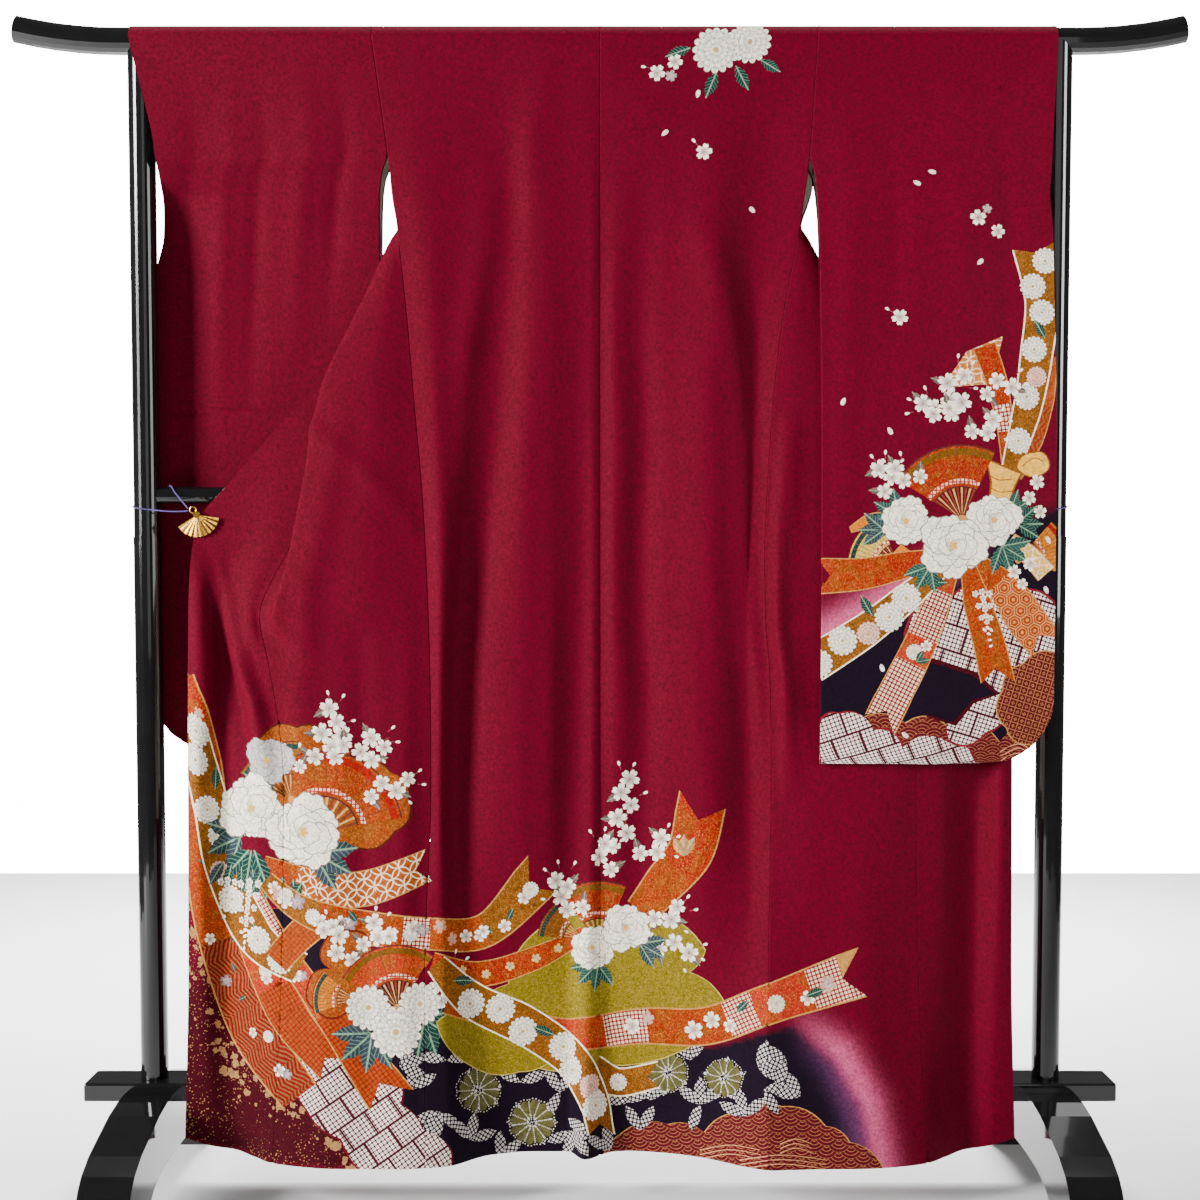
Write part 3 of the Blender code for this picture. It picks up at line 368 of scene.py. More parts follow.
class Surface:
    """A sheet with flat coordinates: s across from its first edge, t along it, both in metres."""

    def __init__(self, blocks, hand, outward=None):
        parts = [even(block) for block in blocks]
        self.points = np.concatenate([p for p, w in parts])
        self.width = np.concatenate([w for p, w in parts])
        pick = self.points[:, [ACROSS // 4, ACROSS // 2, 3 * ACROSS // 4]]
        step = np.linalg.norm(np.diff(pick, axis=0), axis=2).mean(axis=1)
        breaks = np.cumsum([len(b) for b in blocks])[:-1] - 1
        step[breaks] = np.minimum(step[breaks], 0.004)
        self.t = np.concatenate([[0], np.cumsum(np.maximum(step, 1e-6))])
        self.hand = hand
        self.outward = outward or (1 if hand == "left" else -1)
        # where it is folded over the bar, where the neck is cut in, and the folds that its grid follows
        self.bar = self.turn = self.neck = None
        self.folds = ()

    def width_at(self, t):
        return np.interp(t, self.t, self.width)

    def locate(self, flat):
        flat = np.asarray(flat, float)
        row = np.interp(flat[:, 1], self.t, np.arange(len(self.t)))
        i = np.clip(np.floor(row).astype(int), 0, len(self.t) - 2)
        g = (row - i)[:, None]
        spots = []
        for k in (i, i + 1):
            column = np.clip(flat[:, 0] / self.width[k], 0, 1) * ACROSS
            j = np.clip(np.floor(column).astype(int), 0, ACROSS - 1)
            f = (column - j)[:, None]
            spots.append(self.points[k, j] * (1 - f) + self.points[k, j + 1] * f)
        return spots[0] * (1 - g) + spots[1] * g

    def place(self, flat, creases, edges):
        """Points on the sheet and their outward normals, with the creases and the turned-in edges."""
        flat = np.asarray(flat, float)
        reach = NORMAL_REACH
        low, high = self.t[0], self.t[-1]
        first = edges["first"] + TURN_RADIUS
        last = self.width_at(flat[:, 1]) - edges["last"] - TURN_RADIUS
        before = np.where(edges["turn_first"], np.maximum(first - flat[:, 0], 0), 0)
        beyond = np.where(edges["turn_last"], np.maximum(flat[:, 0] - last, 0), 0)
        flat = flat + np.stack([before - beyond, np.zeros(len(flat))], axis=1)

        def spot(ds, dt):
            moved = flat + np.array((ds, dt))
            moved[:, 1] = np.clip(moved[:, 1], low, high)
            moved[:, 0] = np.clip(moved[:, 0], 0, self.width_at(moved[:, 1]))
            return self.locate(moved)

        east, west, north, south = spot(reach, 0), spot(-reach, 0), spot(0, reach), spot(0, -reach)
        normal = unit(np.cross(east - west, north - south) * self.outward)
        way_s, way_t = unit(east - west), unit(north - south)
        points = self.locate(flat)
        if creases:
            lift = self.lift(flat, creases)
            slope_s = (self.lift(flat + (SLOPE_STEP, 0), creases) - lift) / SLOPE_STEP
            slope_t = (self.lift(flat + (0, SLOPE_STEP), creases) - lift) / SLOPE_STEP
            points = points + normal * lift[:, None]
            normal = unit(normal - way_s * slope_s[:, None] - way_t * slope_t[:, None])
        past = before + beyond
        out = np.where((before > 0)[:, None], -way_s, way_s)
        angle = np.minimum(past / TURN_RADIUS, math.pi / 2)
        inward = TURN_RADIUS * (1 - np.cos(angle)) + np.maximum(past - TURN_RADIUS * math.pi / 2, 0)
        if self.bar is not None:
            away = smooth(np.abs(flat[:, 1] - self.bar), *BAR_TURN_REACH)
            inward = inward * (BAR_TURN_SHARE + (1 - BAR_TURN_SHARE) * away)
        points = points + out * (TURN_RADIUS * np.sin(angle))[:, None] - normal * inward[:, None]
        normal = unit(normal * np.cos(angle)[:, None] + out * np.sin(angle)[:, None])
        return points, normal

    def lift(self, flat, creases):
        """Height of the creases, fading out towards the sides, where the cloth is sewn."""
        near = np.minimum(flat[:, 0], self.width_at(flat[:, 1]) - flat[:, 0])
        return crease_height(flat, creases) * smooth(near, 0.0, CREASE_FADE)


def unit(vectors):
    return vectors / np.maximum(np.linalg.norm(vectors, axis=1), 1e-12)[:, None]


def smooth(values, low, high):
    share = np.clip((values - low) / (high - low), 0, 1)
    return share * share * (3 - 2 * share)


def crease_height(flat, creases):
    """Height of soft ridges and troughs: points of a line, half width, height at its ends and middle."""
    total = np.zeros(len(flat))
    for line, half, heights in creases:
        line = np.array(line, float) * MM
        line_run = np.concatenate([[0], np.cumsum(np.linalg.norm(np.diff(line, axis=0), axis=1))])
        best = np.full(len(flat), 9.0)
        share = np.zeros(len(flat))
        for a, b, start, end in zip(line[:-1], line[1:], line_run[:-1], line_run[1:]):
            way = b - a
            f = np.clip(((flat - a) @ way) / (way @ way), 0, 1)
            gap = np.linalg.norm(flat - a - f[:, None] * way, axis=1)
            nearer = gap < best
            best = np.where(nearer, gap, best)
            share = np.where(nearer, (start + (end - start) * f) / line_run[-1], share)
        height = np.interp(share, np.linspace(0, 1, len(heights)), heights) * MM
        total += height * np.exp(-(best / (half * MM)) ** 2)
    return total


BODY_ROWS = np.linspace(0, 12, 241)
BACK_COLUMNS = np.linspace(0, 6, 97)
FRONT_COLUMNS = np.linspace(0, 4, 65)
# rows and columns of the front at which its slack pleat is folded
FOLD_ROWS = slice(50, 200)
FOLD_COLUMNS = (32, 48)
OVERLAP_COLUMNS = np.linspace(4, 8, 65)


def body_surface(hand):
    """One length of cloth from the back hem over the bar to the front hem; s runs from the side."""
    back = back_rows(hand, BODY_ROWS[::-1], BACK_COLUMNS)
    front = front_rows(hand, BODY_ROWS, FRONT_COLUMNS)
    top = back[-1]
    way = -1 if hand == "left" else 1
    edge = top[0].copy()
    neck = edge.copy()
    neck[0] = way * NECK_HALF_WIDTH
    centre = edge.copy()
    centre[0] = 0
    share = np.linspace(0, 1, 33)[:, None]
    whole = edge + (centre - edge) * share
    part = edge + (neck - edge) * share
    upper = bar_rows(whole, whole.copy(), np.linspace(5, NECK_ANGLE, 27))
    lower = bar_rows(part, part.copy(), np.linspace(NECK_ANGLE, 180, 10)[:-1])
    made = Surface([np.array(back), upper, lower, front], hand)
    made.turn = float(made.t[len(back)])
    made.bar = made.turn + BAR_HALF_WRAP
    made.neck = float(made.t[len(back) + len(upper) - 1])
    run = run_along(front)
    made.folds = [(made.t[-len(front):][FOLD_ROWS], run[FOLD_ROWS, column]) for column in FOLD_COLUMNS]
    return made


def overlap_surface(hand):
    places = BODY_ROWS[BODY_ROWS > OVERLAP_FIRST_STATION + 0.5]
    return Surface([front_rows(hand, places, OVERLAP_COLUMNS)], hand)


SLEEVE_TABLES = {
    ("left", "back"): LEFT_SLEEVE_BACK, ("left", "front"): LEFT_SLEEVE_FRONT,
    ("right", "back"): RIGHT_SLEEVE_BACK, ("right", "front"): RIGHT_SLEEVE_FRONT,
}
SLEEVE_COLUMNS = np.linspace(0, 3, 49)
# heights of the rows in the rounded corner, as shares of its radius
CORNER_SHARES = (1.0, 0.94, 0.88, 0.8, 0.72, 0.62, 0.52, 0.42, 0.32, 0.23, 0.15, 0.09, 0.04, 0.015, 0.0)


def sleeve_guides(hand, layer, places):
    places = np.asarray(places, float)
    lines = along(np.array(SLEEVE_TABLES[hand, layer], float) * MM, places)
    height = along(np.array(SLEEVE_ROWS, float) * MM, places)
    side = side_line(hand, np.minimum(places, 1))
    height = np.where(places <= 1, side[:, 2], height)
    guides = np.concatenate([lines, np.repeat(height[:, None, None], 4, axis=1)], axis=2)
    joined = side if layer == "back" else front_side_line(hand, np.minimum(places, 1))
    guides[:, 0] = np.where((places <= 1)[:, None], joined, guides[:, 0])
    return guides


def sleeve_corner_rows(hand, layer, shares):
    """Rows across the rounded bottom corner, where the two layers close on each other."""
    radius = SLEEVE_CORNER_RADIUS
    last = [len(SLEEVE_ROWS) - 1]
    own = sleeve_guides(hand, layer, last)[0]
    other = sleeve_guides(hand, "front" if layer == "back" else "back", last)[0]
    rows = []
    for share in shares:
        rise = share * radius
        inset = radius - math.sqrt(max(radius ** 2 - (radius - rise) ** 2, 0))
        opening = smooth(rise, 0, SLEEVE_CLOSING_HEIGHT)
        way = 1 if layer == "front" else -1
        inner = own[0][0]
        span = abs(own[3][0] - inner)
        middle = (own[:, 1] + other[:, 1]) / 2
        closed = middle + way * (WALL + SLEEVE_SEAM_GAP) / 2
        row = own.copy()
        row[:, 0] = inner + (own[:, 0] - inner) * (span - inset) / span
        row[:, 1] = closed + (own[:, 1] - closed) * opening
        row[:, 2] = SLEEVE_BOTTOM[hand] + rise
        rows.append(row)
    return np.array(rows)


def sleeve_surface(hand):
    """One length of cloth folded over the bar; s runs from the body out to the cuff."""
    places = np.linspace(0, 8, 161)
    layers = {}
    for layer in ("back", "front"):
        straight = across(sleeve_guides(hand, layer, places), SLEEVE_COLUMNS)
        corner = across(sleeve_corner_rows(hand, layer, CORNER_SHARES), SLEEVE_COLUMNS)
        steps = np.linspace(0, 1, 15)[1:-1, None, None]
        between = straight[-1] + (corner[0] - straight[-1]) * steps
        layers[layer] = np.concatenate([straight, between, corner])
    start, end = layers["back"][0], layers["front"][0]
    share = np.linspace(0, 1, 33)[:, None]
    start_row = start[0] + (start[-1] - start[0]) * share
    end_row = end[0] + (end[-1] - end[0]) * share
    wrap = bar_rows(start_row, end_row, np.linspace(5, 175, 35))
    made = Surface([layers["back"][::-1], wrap, layers["front"]], hand, -1 if hand == "left" else 1)
    made.turn = float(made.t[len(layers["back"])])
    made.bar = made.turn + BAR_HALF_WRAP
    return made

# ---------------------------------------------------------------- materials


class Value:
    """A node's output that takes part in sums written in Python."""

    def __init__(self, graph, socket):
        self.graph, self.socket = graph, socket

    def math(self, operation, *others):
        return self.graph.math(operation, self, *others)

    def __add__(self, other):
        return self.math("ADD", other)

    def __radd__(self, other):
        return self.math("ADD", other)

    def __sub__(self, other):
        return self.math("SUBTRACT", other)

    def __rsub__(self, other):
        return self.graph.math("SUBTRACT", other, self)

    def __mul__(self, other):
        return self.math("MULTIPLY", other)

    def __rmul__(self, other):
        return self.math("MULTIPLY", other)

    def __truediv__(self, other):
        return self.math("DIVIDE", other)

    def __rtruediv__(self, other):
        return self.graph.math("DIVIDE", other, self)

    def __pow__(self, other):
        return self.math("POWER", other)

    def __abs__(self):
        return self.math("ABSOLUTE")

    def over(self, edge, soft):
        """0 below the edge, 1 above it, with a soft step."""
        return self.graph.step(self, edge - soft, edge + soft)

    def under(self, edge, soft):
        return 1 - self.over(edge, soft)


class Graph:
    """Nodes of one material."""

    def __init__(self, name):
        self.material = bpy.data.materials.new(name)
        self.material.use_nodes = True
        self.tree = self.material.node_tree
        self.shader = self.tree.nodes["Principled BSDF"]

    def feed(self, socket, value):
        if isinstance(value, Value):
            self.tree.links.new(value.socket, socket)
        elif hasattr(value, "__len__") and len(value) == 3 and socket.type == "RGBA":
            socket.default_value = (*value, 1.0)
        else:
            socket.default_value = value

    def node(self, kind, settings=None, out=0, **inputs):
        """A node of a type, with its settings, then the values or links of its sockets."""
        made = self.tree.nodes.new("ShaderNode" + kind)
        for key, value in (settings or {}).items():
            setattr(made, key, value)
        for key, value in inputs.items():
            socket = made.inputs[int(key[1:])] if key[0] == "i" and key[1:].isdigit() else made.inputs[key]
            self.feed(socket, value)
        return Value(self, made.outputs[out])

    def math(self, operation, *values):
        return self.node("Math", {"operation": operation}, **{"i%d" % k: v for k, v in enumerate(values)})

    def step(self, value, low, high):
        return self.node("MapRange", {"interpolation_type": "SMOOTHSTEP"}, i0=value, i1=low, i2=high, i3=0.0, i4=1.0)

    def mix(self, share, one, other):
        return self.node("Mix", {"data_type": "RGBA"}, out=2, i0=share, i6=one, i7=other)

    def attribute(self, name):
        return self.node("Attribute", {"attribute_type": "GEOMETRY", "attribute_name": name})

    def uv(self, name):
        return self.node("UVMap", {"uv_map": name})

    def parts(self, vector):
        made = self.tree.nodes.new("ShaderNodeSeparateXYZ")
        self.feed(made.inputs[0], vector)
        return [Value(self, socket) for socket in made.outputs]

    def objects(self):
        return self.node("TexCoord", out="Object")

    def noise(self, vector, scale, detail=2.0, roughness=0.5):
        return self.node("TexNoise", out="Fac", Vector=vector, Scale=scale, Detail=detail, Roughness=roughness)

    def cells(self, vector, scale, feature="F1"):
        return self.node("TexVoronoi", {"feature": feature}, out="Distance", Vector=vector, Scale=scale)

    def bump(self, height, distance, strength):
        return self.node("Bump", Height=height, Distance=distance, Strength=strength)

    def line(self, value, low, high):
        """1 on lines half way between whole numbers, fading over two distances from them."""
        return 1 - self.step(abs(self.math("FRACT", value) - 0.5), low, high)

    def greater(self, one, other):
        return self.math("MAXIMUM", one, other)

    def finish(self, **inputs):
        for key, value in inputs.items():
            self.feed(self.shader.inputs[key.replace("_", " ")], value)
        return self.material


def rgb(red, green, blue):
    """Linear colour from 0 to 255 screen values, the deeper tones a little deeper still, as dye on silk is."""
    made = []
    for part in (red, green, blue):
        share = part / 255
        linear = share / 12.92 if share <= 0.04045 else ((share + 0.055) / 1.055) ** 2.4
        made.append(linear * (0.74 + 0.26 * linear))
    return tuple(made)


GRAIN_PER_METRE = 620.0
COARSE_GRAIN = 0.42


def silk_crepe(name, paint):
    """Dyed crepe: a pebbly twisted-thread grain over whatever the paint function draws, with painted highlight and
    shade on the grain, lighter where it stands up and darker in its hollows.
    """
    g = Graph(name)
    place = g.objects()
    dye = g.attribute("dye")
    colour = paint(g, dye)
    grain = g.noise(place, GRAIN_PER_METRE, 3.0, 0.62)
    coarse = g.noise(place, GRAIN_PER_METRE * COARSE_GRAIN)
    slub = g.noise(place, 34.0)
    # painted highlight and shade: the grain and coarse noise also raise the bump, so the colour lightens on the raised
    # grain and darkens in its hollows; the slub term is uneven thread
    shade = (grain - 0.5) * 0.9 + (coarse - 0.5) * 1.35 + (slub - 0.5) * 0.18 + 1.0
    lit = g.node("VectorMath", {"operation": "SCALE"}, Vector=colour, Scale=shade)
    height = grain * 0.6 + coarse * 0.5
    return g.finish(Base_Color=lit, Roughness=grain * 0.12 + 0.66, Sheen_Weight=0.02,
                    Sheen_Roughness=0.45, Sheen_Tint=(1.0, 0.45, 0.5, 1.0), Specular_IOR_Level=0.06,
                    Normal=g.bump(height, 0.0006, 0.85))


def plain_dye(g, dye):
    return dye


IVORY = rgb(251, 243, 224)
GOLD_LINE = rgb(190, 138, 70)


# repeats added before a fraction is taken, which keeps it even across the motif's middle
LEAD = 1000.0


def motif_place(g):
    return g.parts(g.uv("motif"))[:2]


def part_of(g, value, pitch):
    """Place inside one repeat, from -0.5 to 0.5."""
    return g.math("FRACT", value / pitch + LEAD) - 0.5


def wheel(g):
    """Angle in turns and distance from a flower's centre."""
    u, v = motif_place(g)
    angle = g.math("ARCTAN2", v, u) / (2 * math.pi)
    return angle, g.math("SQRT", u * u + v * v)


def ray_lines(g, angle, count, half, shift=0.0):
    """1 on thin lines that run out from the centre."""
    return g.line(angle * count + 10.5 + shift, half * 0.4, half)


def paint_blossom(g, dye):
    angle, far = wheel(g)
    hush = g.mix(far.under(0.42, 0.30), dye, rgb(196, 178, 176))
    stamens = ray_lines(g, angle, 12.0, 0.16) * far.under(0.50, 0.04) * far.over(0.10, 0.03)
    eye = far.under(0.11, 0.03)
    parted = ray_lines(g, angle, 5.0, 0.07, 0.5) * far.under(0.72, 0.12) * far.over(0.15, 0.05)
    drawn = g.mix(parted * 0.55, hush, rgb(150, 132, 134))
    drawn = g.mix(stamens * 0.55, drawn, rgb(150, 120, 96))
    return g.mix(eye, drawn, rgb(170, 138, 70))


def paint_mum(g, dye):
    """Rings of narrow petals with fine grey edges."""
    angle, far = wheel(g)
    ring = g.math("FLOOR", far * 4.0)
    shift = g.math("FRACT", ring * 0.5)
    lines = g.line(angle * 16.0 + 10.5 + shift, 0.03, 0.13)
    tip = g.math("COSINE", (angle * 16.0 + shift) * (2 * math.pi)) * 0.12
    edge = g.line(far * 4.0 + tip + 0.5, 0.04, 0.12)
    shade = g.greater(lines * 0.55, edge * 0.7) * far.over(0.12, 0.04)
    petal = g.mix(g.math("FRACT", far * 4.0 + tip), rgb(222, 216, 204), dye)
    drawn = g.mix(shade, petal, rgb(140, 130, 120))
    return g.mix(far.under(0.12, 0.03), drawn, rgb(190, 160, 96))


def paint_peony(g, dye):
    """One petal: veins running out from its foot, a greyer foot and a clear rim."""
    u, v = motif_place(g)
    lean = v / (u + 1.6)
    veins = abs(g.math("FRACT", lean * 9.0 + 10.0) - 0.5).under(0.10, 0.08)
    blush = g.mix(u.under(-0.15, 0.5) * 0.7, dye, rgb(196, 182, 172))
    return g.mix(veins * 0.26, blush, rgb(140, 130, 124))


def paint_leaf(g, dye):
    u, v = motif_place(g)
    rib = abs(v).under(0.045, 0.02)
    side = g.line(u * 4.0 - abs(v) * 3.4 + 10.0, 0.05, 0.12)
    tone = g.mix(v.over(0.0, 0.05) * 0.5, dye, rgb(24, 52, 54))
    return g.mix(g.greater(rib, side * 0.55), tone, rgb(132, 160, 132))


def kanoko_dots(g, pitch, size):
    """Rows of squarish tie-dyed dots and the dark speck in the middle of each."""
    u, v = motif_place(g)
    a, b = part_of(g, u, pitch), part_of(g, v, pitch)
    square = (a ** 2 * a ** 2 + b ** 2 * b ** 2) ** 0.25
    hole = (a * a + b * b) ** 0.5
    return square.under(size, 0.06), hole.under(0.11, 0.05)


def paint_kanoko(g, dye):
    dot, hole = kanoko_dots(g, 0.0058, 0.35)
    return g.mix(hole * 0.3, g.mix(dot, dye, rgb(236, 208, 182)), dye)


def paint_dotted(g, dye):
    """Small tie-dyed dots left white on the dark ground."""
    dot, hole = kanoko_dots(g, 0.0056, 0.35)
    return g.mix(hole * 0.5, g.mix(dot, dye, rgb(214, 206, 202)), dye)


def paint_tiles(g, dye):
    """Blocks of tie-dyed dots parted by plain lines."""
    u, v = motif_place(g)
    dot, hole = kanoko_dots(g, 0.0060, 0.385)
    row = g.math("FLOOR", v / 0.036 + LEAD)
    across_line = abs(part_of(g, v, 0.036)).over(0.45, 0.02)
    along_line = abs(part_of(g, u + row * 0.017, 0.042)).over(0.46, 0.015)
    ground = rgb(84, 20, 34)
    drawn = g.mix(hole * 0.35, g.mix(dot, ground, rgb(244, 230, 222)), ground)
    return g.mix(g.greater(across_line, along_line), drawn, dye)


def paint_shippo(g, dye):
    """Interlocking rings."""
    u, v = motif_place(g)
    a, b = part_of(g, u, 0.026) * 2, part_of(g, v, 0.026) * 2
    one = (a * a + b * b) ** 0.5
    c, d = 1 - abs(a), 1 - abs(b)
    other = (c * c + d * d) ** 0.5
    gap = g.math("MINIMUM", abs(one - 1), abs(other - 1))
    mottle = g.noise(g.objects(), 420.0, 3.0)
    ground = g.mix(mottle.over(0.5, 0.12) * 0.35, dye, rgb(196, 120, 50))
    return g.mix(gap.under(0.07, 0.025), ground, rgb(240, 214, 178))


def paint_waves(g, dye):
    """Overlapping wave scales (seigaiha) in gold lines."""
    u, v = motif_place(g)
    x, y = u / 0.0175, v / 0.0175
    drawn = None
    for k in (2, 1, 0, -1):
        row = g.math("FLOOR", y * 2.0) + float(k)
        odd = g.math("FRACT", row * 0.5 + 100.0) * 2.0
        dx = g.math("FRACT", (x + odd) / 2.0 + LEAD) * 2.0 - 1.0
        dy = y - row * 0.5
        far = (dx * dx + dy * dy) ** 0.5
        tone = g.mix(g.line(far * 3.5, 0.04, 0.12) * 0.8, dye, rgb(184, 128, 78))
        drawn = tone if drawn is None else g.mix(far.under(1.0, 0.02), drawn, tone)
    return drawn


def paint_kikko(g, dye):
    """Tortoise-shell hexagons, one inside another."""
    u, v = motif_place(g)
    tall = math.sqrt(3)

    def cell(x, y):
        a = g.math("FRACT", x + LEAD) - 0.5
        b = (g.math("FRACT", y / tall + LEAD) - 0.5) * tall
        return abs(a), abs(b), a * a + b * b
    x, y = u / 0.019, v / 0.019
    a, b, near = cell(x, y)
    c, d, far = cell(x + 0.5, y + tall / 2)
    pick = g.math("LESS_THAN", far, near)
    p, q = a + (c - a) * pick, b + (d - b) * pick
    hexagon = g.greater(p, p * 0.5 + q * (tall / 2))
    lines = g.greater(hexagon.over(0.455, 0.015), hexagon.over(0.29, 0.015) * hexagon.under(0.35, 0.015))
    lines = g.greater(lines, hexagon.under(0.12, 0.02))
    return g.mix(lines * 0.8, dye, rgb(220, 158, 96))


def paint_lattice(g, dye):
    """Small flower lattice in old gold on maroon."""
    u, v = motif_place(g)
    a, b = part_of(g, u + v, 0.0150), part_of(g, u - v, 0.0150)
    lines = g.greater(abs(a), abs(b)).over(0.45, 0.02)
    flower = (abs(a) * abs(b) * 4.0 + (a * a + b * b)) ** 0.5
    drawn = g.greater(lines, flower.under(0.30, 0.03) * flower.over(0.13, 0.03))
    return g.mix(drawn * 0.7, dye, rgb(182, 128, 76))


def paint_reed(g, dye):
    """Slanting red and gold lines in facing blocks."""
    u, v = motif_place(g)
    block = g.math("FLOOR", u / 0.024 + LEAD)
    odd = g.math("FRACT", block * 0.5) * 4.0 - 1.0
    sway = g.noise(g.objects(), 22.0, 2.0) * 0.016
    lines = abs(part_of(g, v + u * odd * 0.55 + sway, 0.0068)).under(0.21, 0.06)
    return g.mix(lines * 0.85, dye, rgb(138, 92, 54))


def paint_brocade(g, dye):
    """Gold-dusted ground with small scrolling leaves."""
    place = g.objects()
    mottle = g.cells(place, 260.0, "SMOOTH_F1")
    scroll = g.noise(place, 150.0, 3.0, 0.6)
    dust = g.noise(place, 520.0, 2.0)
    patch = g.noise(place, 46.0, 2.0)
    line = abs(scroll - 0.5).under(0.022, 0.014)
    toned = g.mix(patch.over(0.54, 0.05) * 0.42, dye, rgb(140, 92, 22))
    toned = g.mix(mottle.over(0.42, 0.16) * 0.25, toned, rgb(176, 84, 18))
    toned = g.mix(line * 0.55, toned, rgb(110, 30, 12))
    return g.mix(dust.over(0.60, 0.05) * 0.42, toned, rgb(208, 140, 62))


def paint_gilt(g, dye):
    """Ground dusted with gold powder."""
    place = g.objects()
    dust = g.noise(place, 640.0, 2.0)
    patch = g.noise(place, 70.0, 3.0)
    toned = g.mix(patch.over(0.5, 0.2) * 0.35, dye, rgb(140, 118, 34))
    return g.mix(dust.over(0.58, 0.07) * 0.4, toned, rgb(196, 172, 90))


def paint_flecked(g, dye):
    """Maroon ground sprinkled with cut gold leaf."""
    place = g.objects()
    thick = g.noise(place, 9.0, 2.0)
    leaf = g.math("LESS_THAN", g.cells(place, 230.0), (thick - 0.30) * 0.85)
    return g.mix(leaf * 0.8, dye, rgb(170, 124, 80))


def paint_net(g, dye):
    """Small ochre tie-dyed dots on maroon."""
    return g.mix(kanoko_dots(g, 0.0062, 0.40)[0] * 0.3, dye, rgb(196, 112, 44))


KINDS = {
    "crepe": plain_dye, "blossom": paint_blossom, "mum": paint_mum, "peony": paint_peony, "leaf": paint_leaf,
    "kanoko": paint_kanoko, "dotted": paint_dotted, "tiles": paint_tiles, "shippo": paint_shippo, "waves": paint_waves,
    "kikko": paint_kikko, "lattice": paint_lattice, "reed": paint_reed, "brocade": paint_brocade,
    "gilt": paint_gilt, "flecked": paint_flecked, "net": paint_net,
}


def cloth_materials():
    made = {kind: silk_crepe("dyed_crepe_" + kind, paint) for kind, paint in KINDS.items()}
    made["lining"] = lining_silk("ivory_lining", rgb(226, 218, 204), 0.2, 0.4)
    made["hem_lining"] = lining_silk("crimson_hem_lining", rgb(100, 2, 20), 0.04, 0.12)
    return made


THREADS = 5200.0


def lining_silk(name, colour, sheen, gloss):
    """Plain woven silk: fine crossing threads and a soft gloss."""
    g = Graph(name)
    x, _, z = g.parts(g.objects())
    warp = g.math("SINE", x * THREADS)
    weft = g.math("SINE", z * THREADS)
    slub = g.noise(g.objects(), 60.0, 3.0)
    shade = 0.97 + warp * 0.012 + weft * 0.012 + (slub - 0.5) * 0.10
    tint = g.node("VectorMath", {"operation": "SCALE"}, Vector=(*colour,), Scale=shade)
    return g.finish(Base_Color=tint, Roughness=0.46 + slub * 0.08, Sheen_Weight=sheen, Sheen_Roughness=0.4,
                    Specular_IOR_Level=gloss, Normal=g.bump(warp + weft, 0.00004, 0.5))


def black_lacquer():
    """Deep black polished lacquer with faint ripples and dust-fine rubbing marks."""
    g = Graph("black_lacquer_polished")
    place = g.objects()
    ripple = g.noise(place, 9.0, 2.0)
    rub = g.noise(place, 900.0, 2.0)
    cloud = g.noise(place, 22.0, 3.0)
    colour = g.mix(cloud, (0.0035, 0.0035, 0.0042), (0.0075, 0.0070, 0.0072))
    return g.finish(Base_Color=colour, Roughness=0.07 + cloud * 0.06 + rub * 0.03, Coat_Weight=0.7,
                    Coat_Roughness=0.03, IOR=1.5, Specular_IOR_Level=0.2, Normal=g.bump(ripple, 0.0008, 0.25))


def gilt_metal():
    """Gilded brass of the fan clips, darker gold in random stains, with fine scratches."""
    g = Graph("gilt_fan_metal")
    place = g.objects()
    stain = g.noise(place, 240.0, 3.0)
    scratch = g.noise(place, 2600.0, 2.0)
    colour = g.mix(stain.over(0.55, 0.12), rgb(236, 190, 92), rgb(176, 120, 44))
    return g.finish(Base_Color=colour, Metallic=1.0, Roughness=0.16 + stain * 0.16 + scratch * 0.06,
                    Normal=g.bump(scratch, 0.00003, 0.4))


def cord_silk():
    """Two-ply silk cord: slanting plies along the strand, read from the curve's own coordinates, painted lighter on
    the crown of each ply and darker in the grooves as light and shade.
    """
    g = Graph("purple_twisted_cord")
    u, v, _ = g.parts(g.node("TexCoord", out="UV"))
    ply = g.math("SINE", (u * 130.0 + v) * (2 * math.pi))
    fibre = g.noise(g.objects(), 3800.0, 2.0)
    # painted light and shade on the twist: the colour follows the same wave as the bump, lighter on the plies' crowns
    # and darker in the grooves between them
    colour = g.mix(ply * 0.35 + 0.5, rgb(38, 20, 84), rgb(104, 70, 168))
    return g.finish(Base_Color=colour, Roughness=0.55, Sheen_Weight=0.3, Sheen_Roughness=0.4,
                    Normal=g.bump(ply * 0.7 + fibre * 0.3, 0.0004, 0.9))


def studio_floor():
    g = Graph("pale_floor")
    cloud = g.noise(g.objects(), 1.3, 2.0)
    colour = g.mix(cloud, (0.86, 0.86, 0.86), (0.90, 0.90, 0.90))
    return g.finish(Base_Color=colour, Roughness=0.75)

# ---------------------------------------------------------------- cut pieces

GRID = 0.0078
ROW_PITCH = GRID * 0.87
EDGE_STEP = 0.0065
GRID_MARGIN = 0.0042
FOLD_STEPS = (-0.0030, -0.0014, 0.0, 0.0014, 0.0030)
NECK_STEP = 0.0004
HEM_LINING_HEIGHT = 0.46
HEM_MARGIN = 0.003


def run_points(start, end):
    """Evenly spaced values from start up to, but without, end."""
    count = max(1, int(round(abs(end - start) / EDGE_STEP)))
    return [start + (end - start) * k / count for k in range(count)]


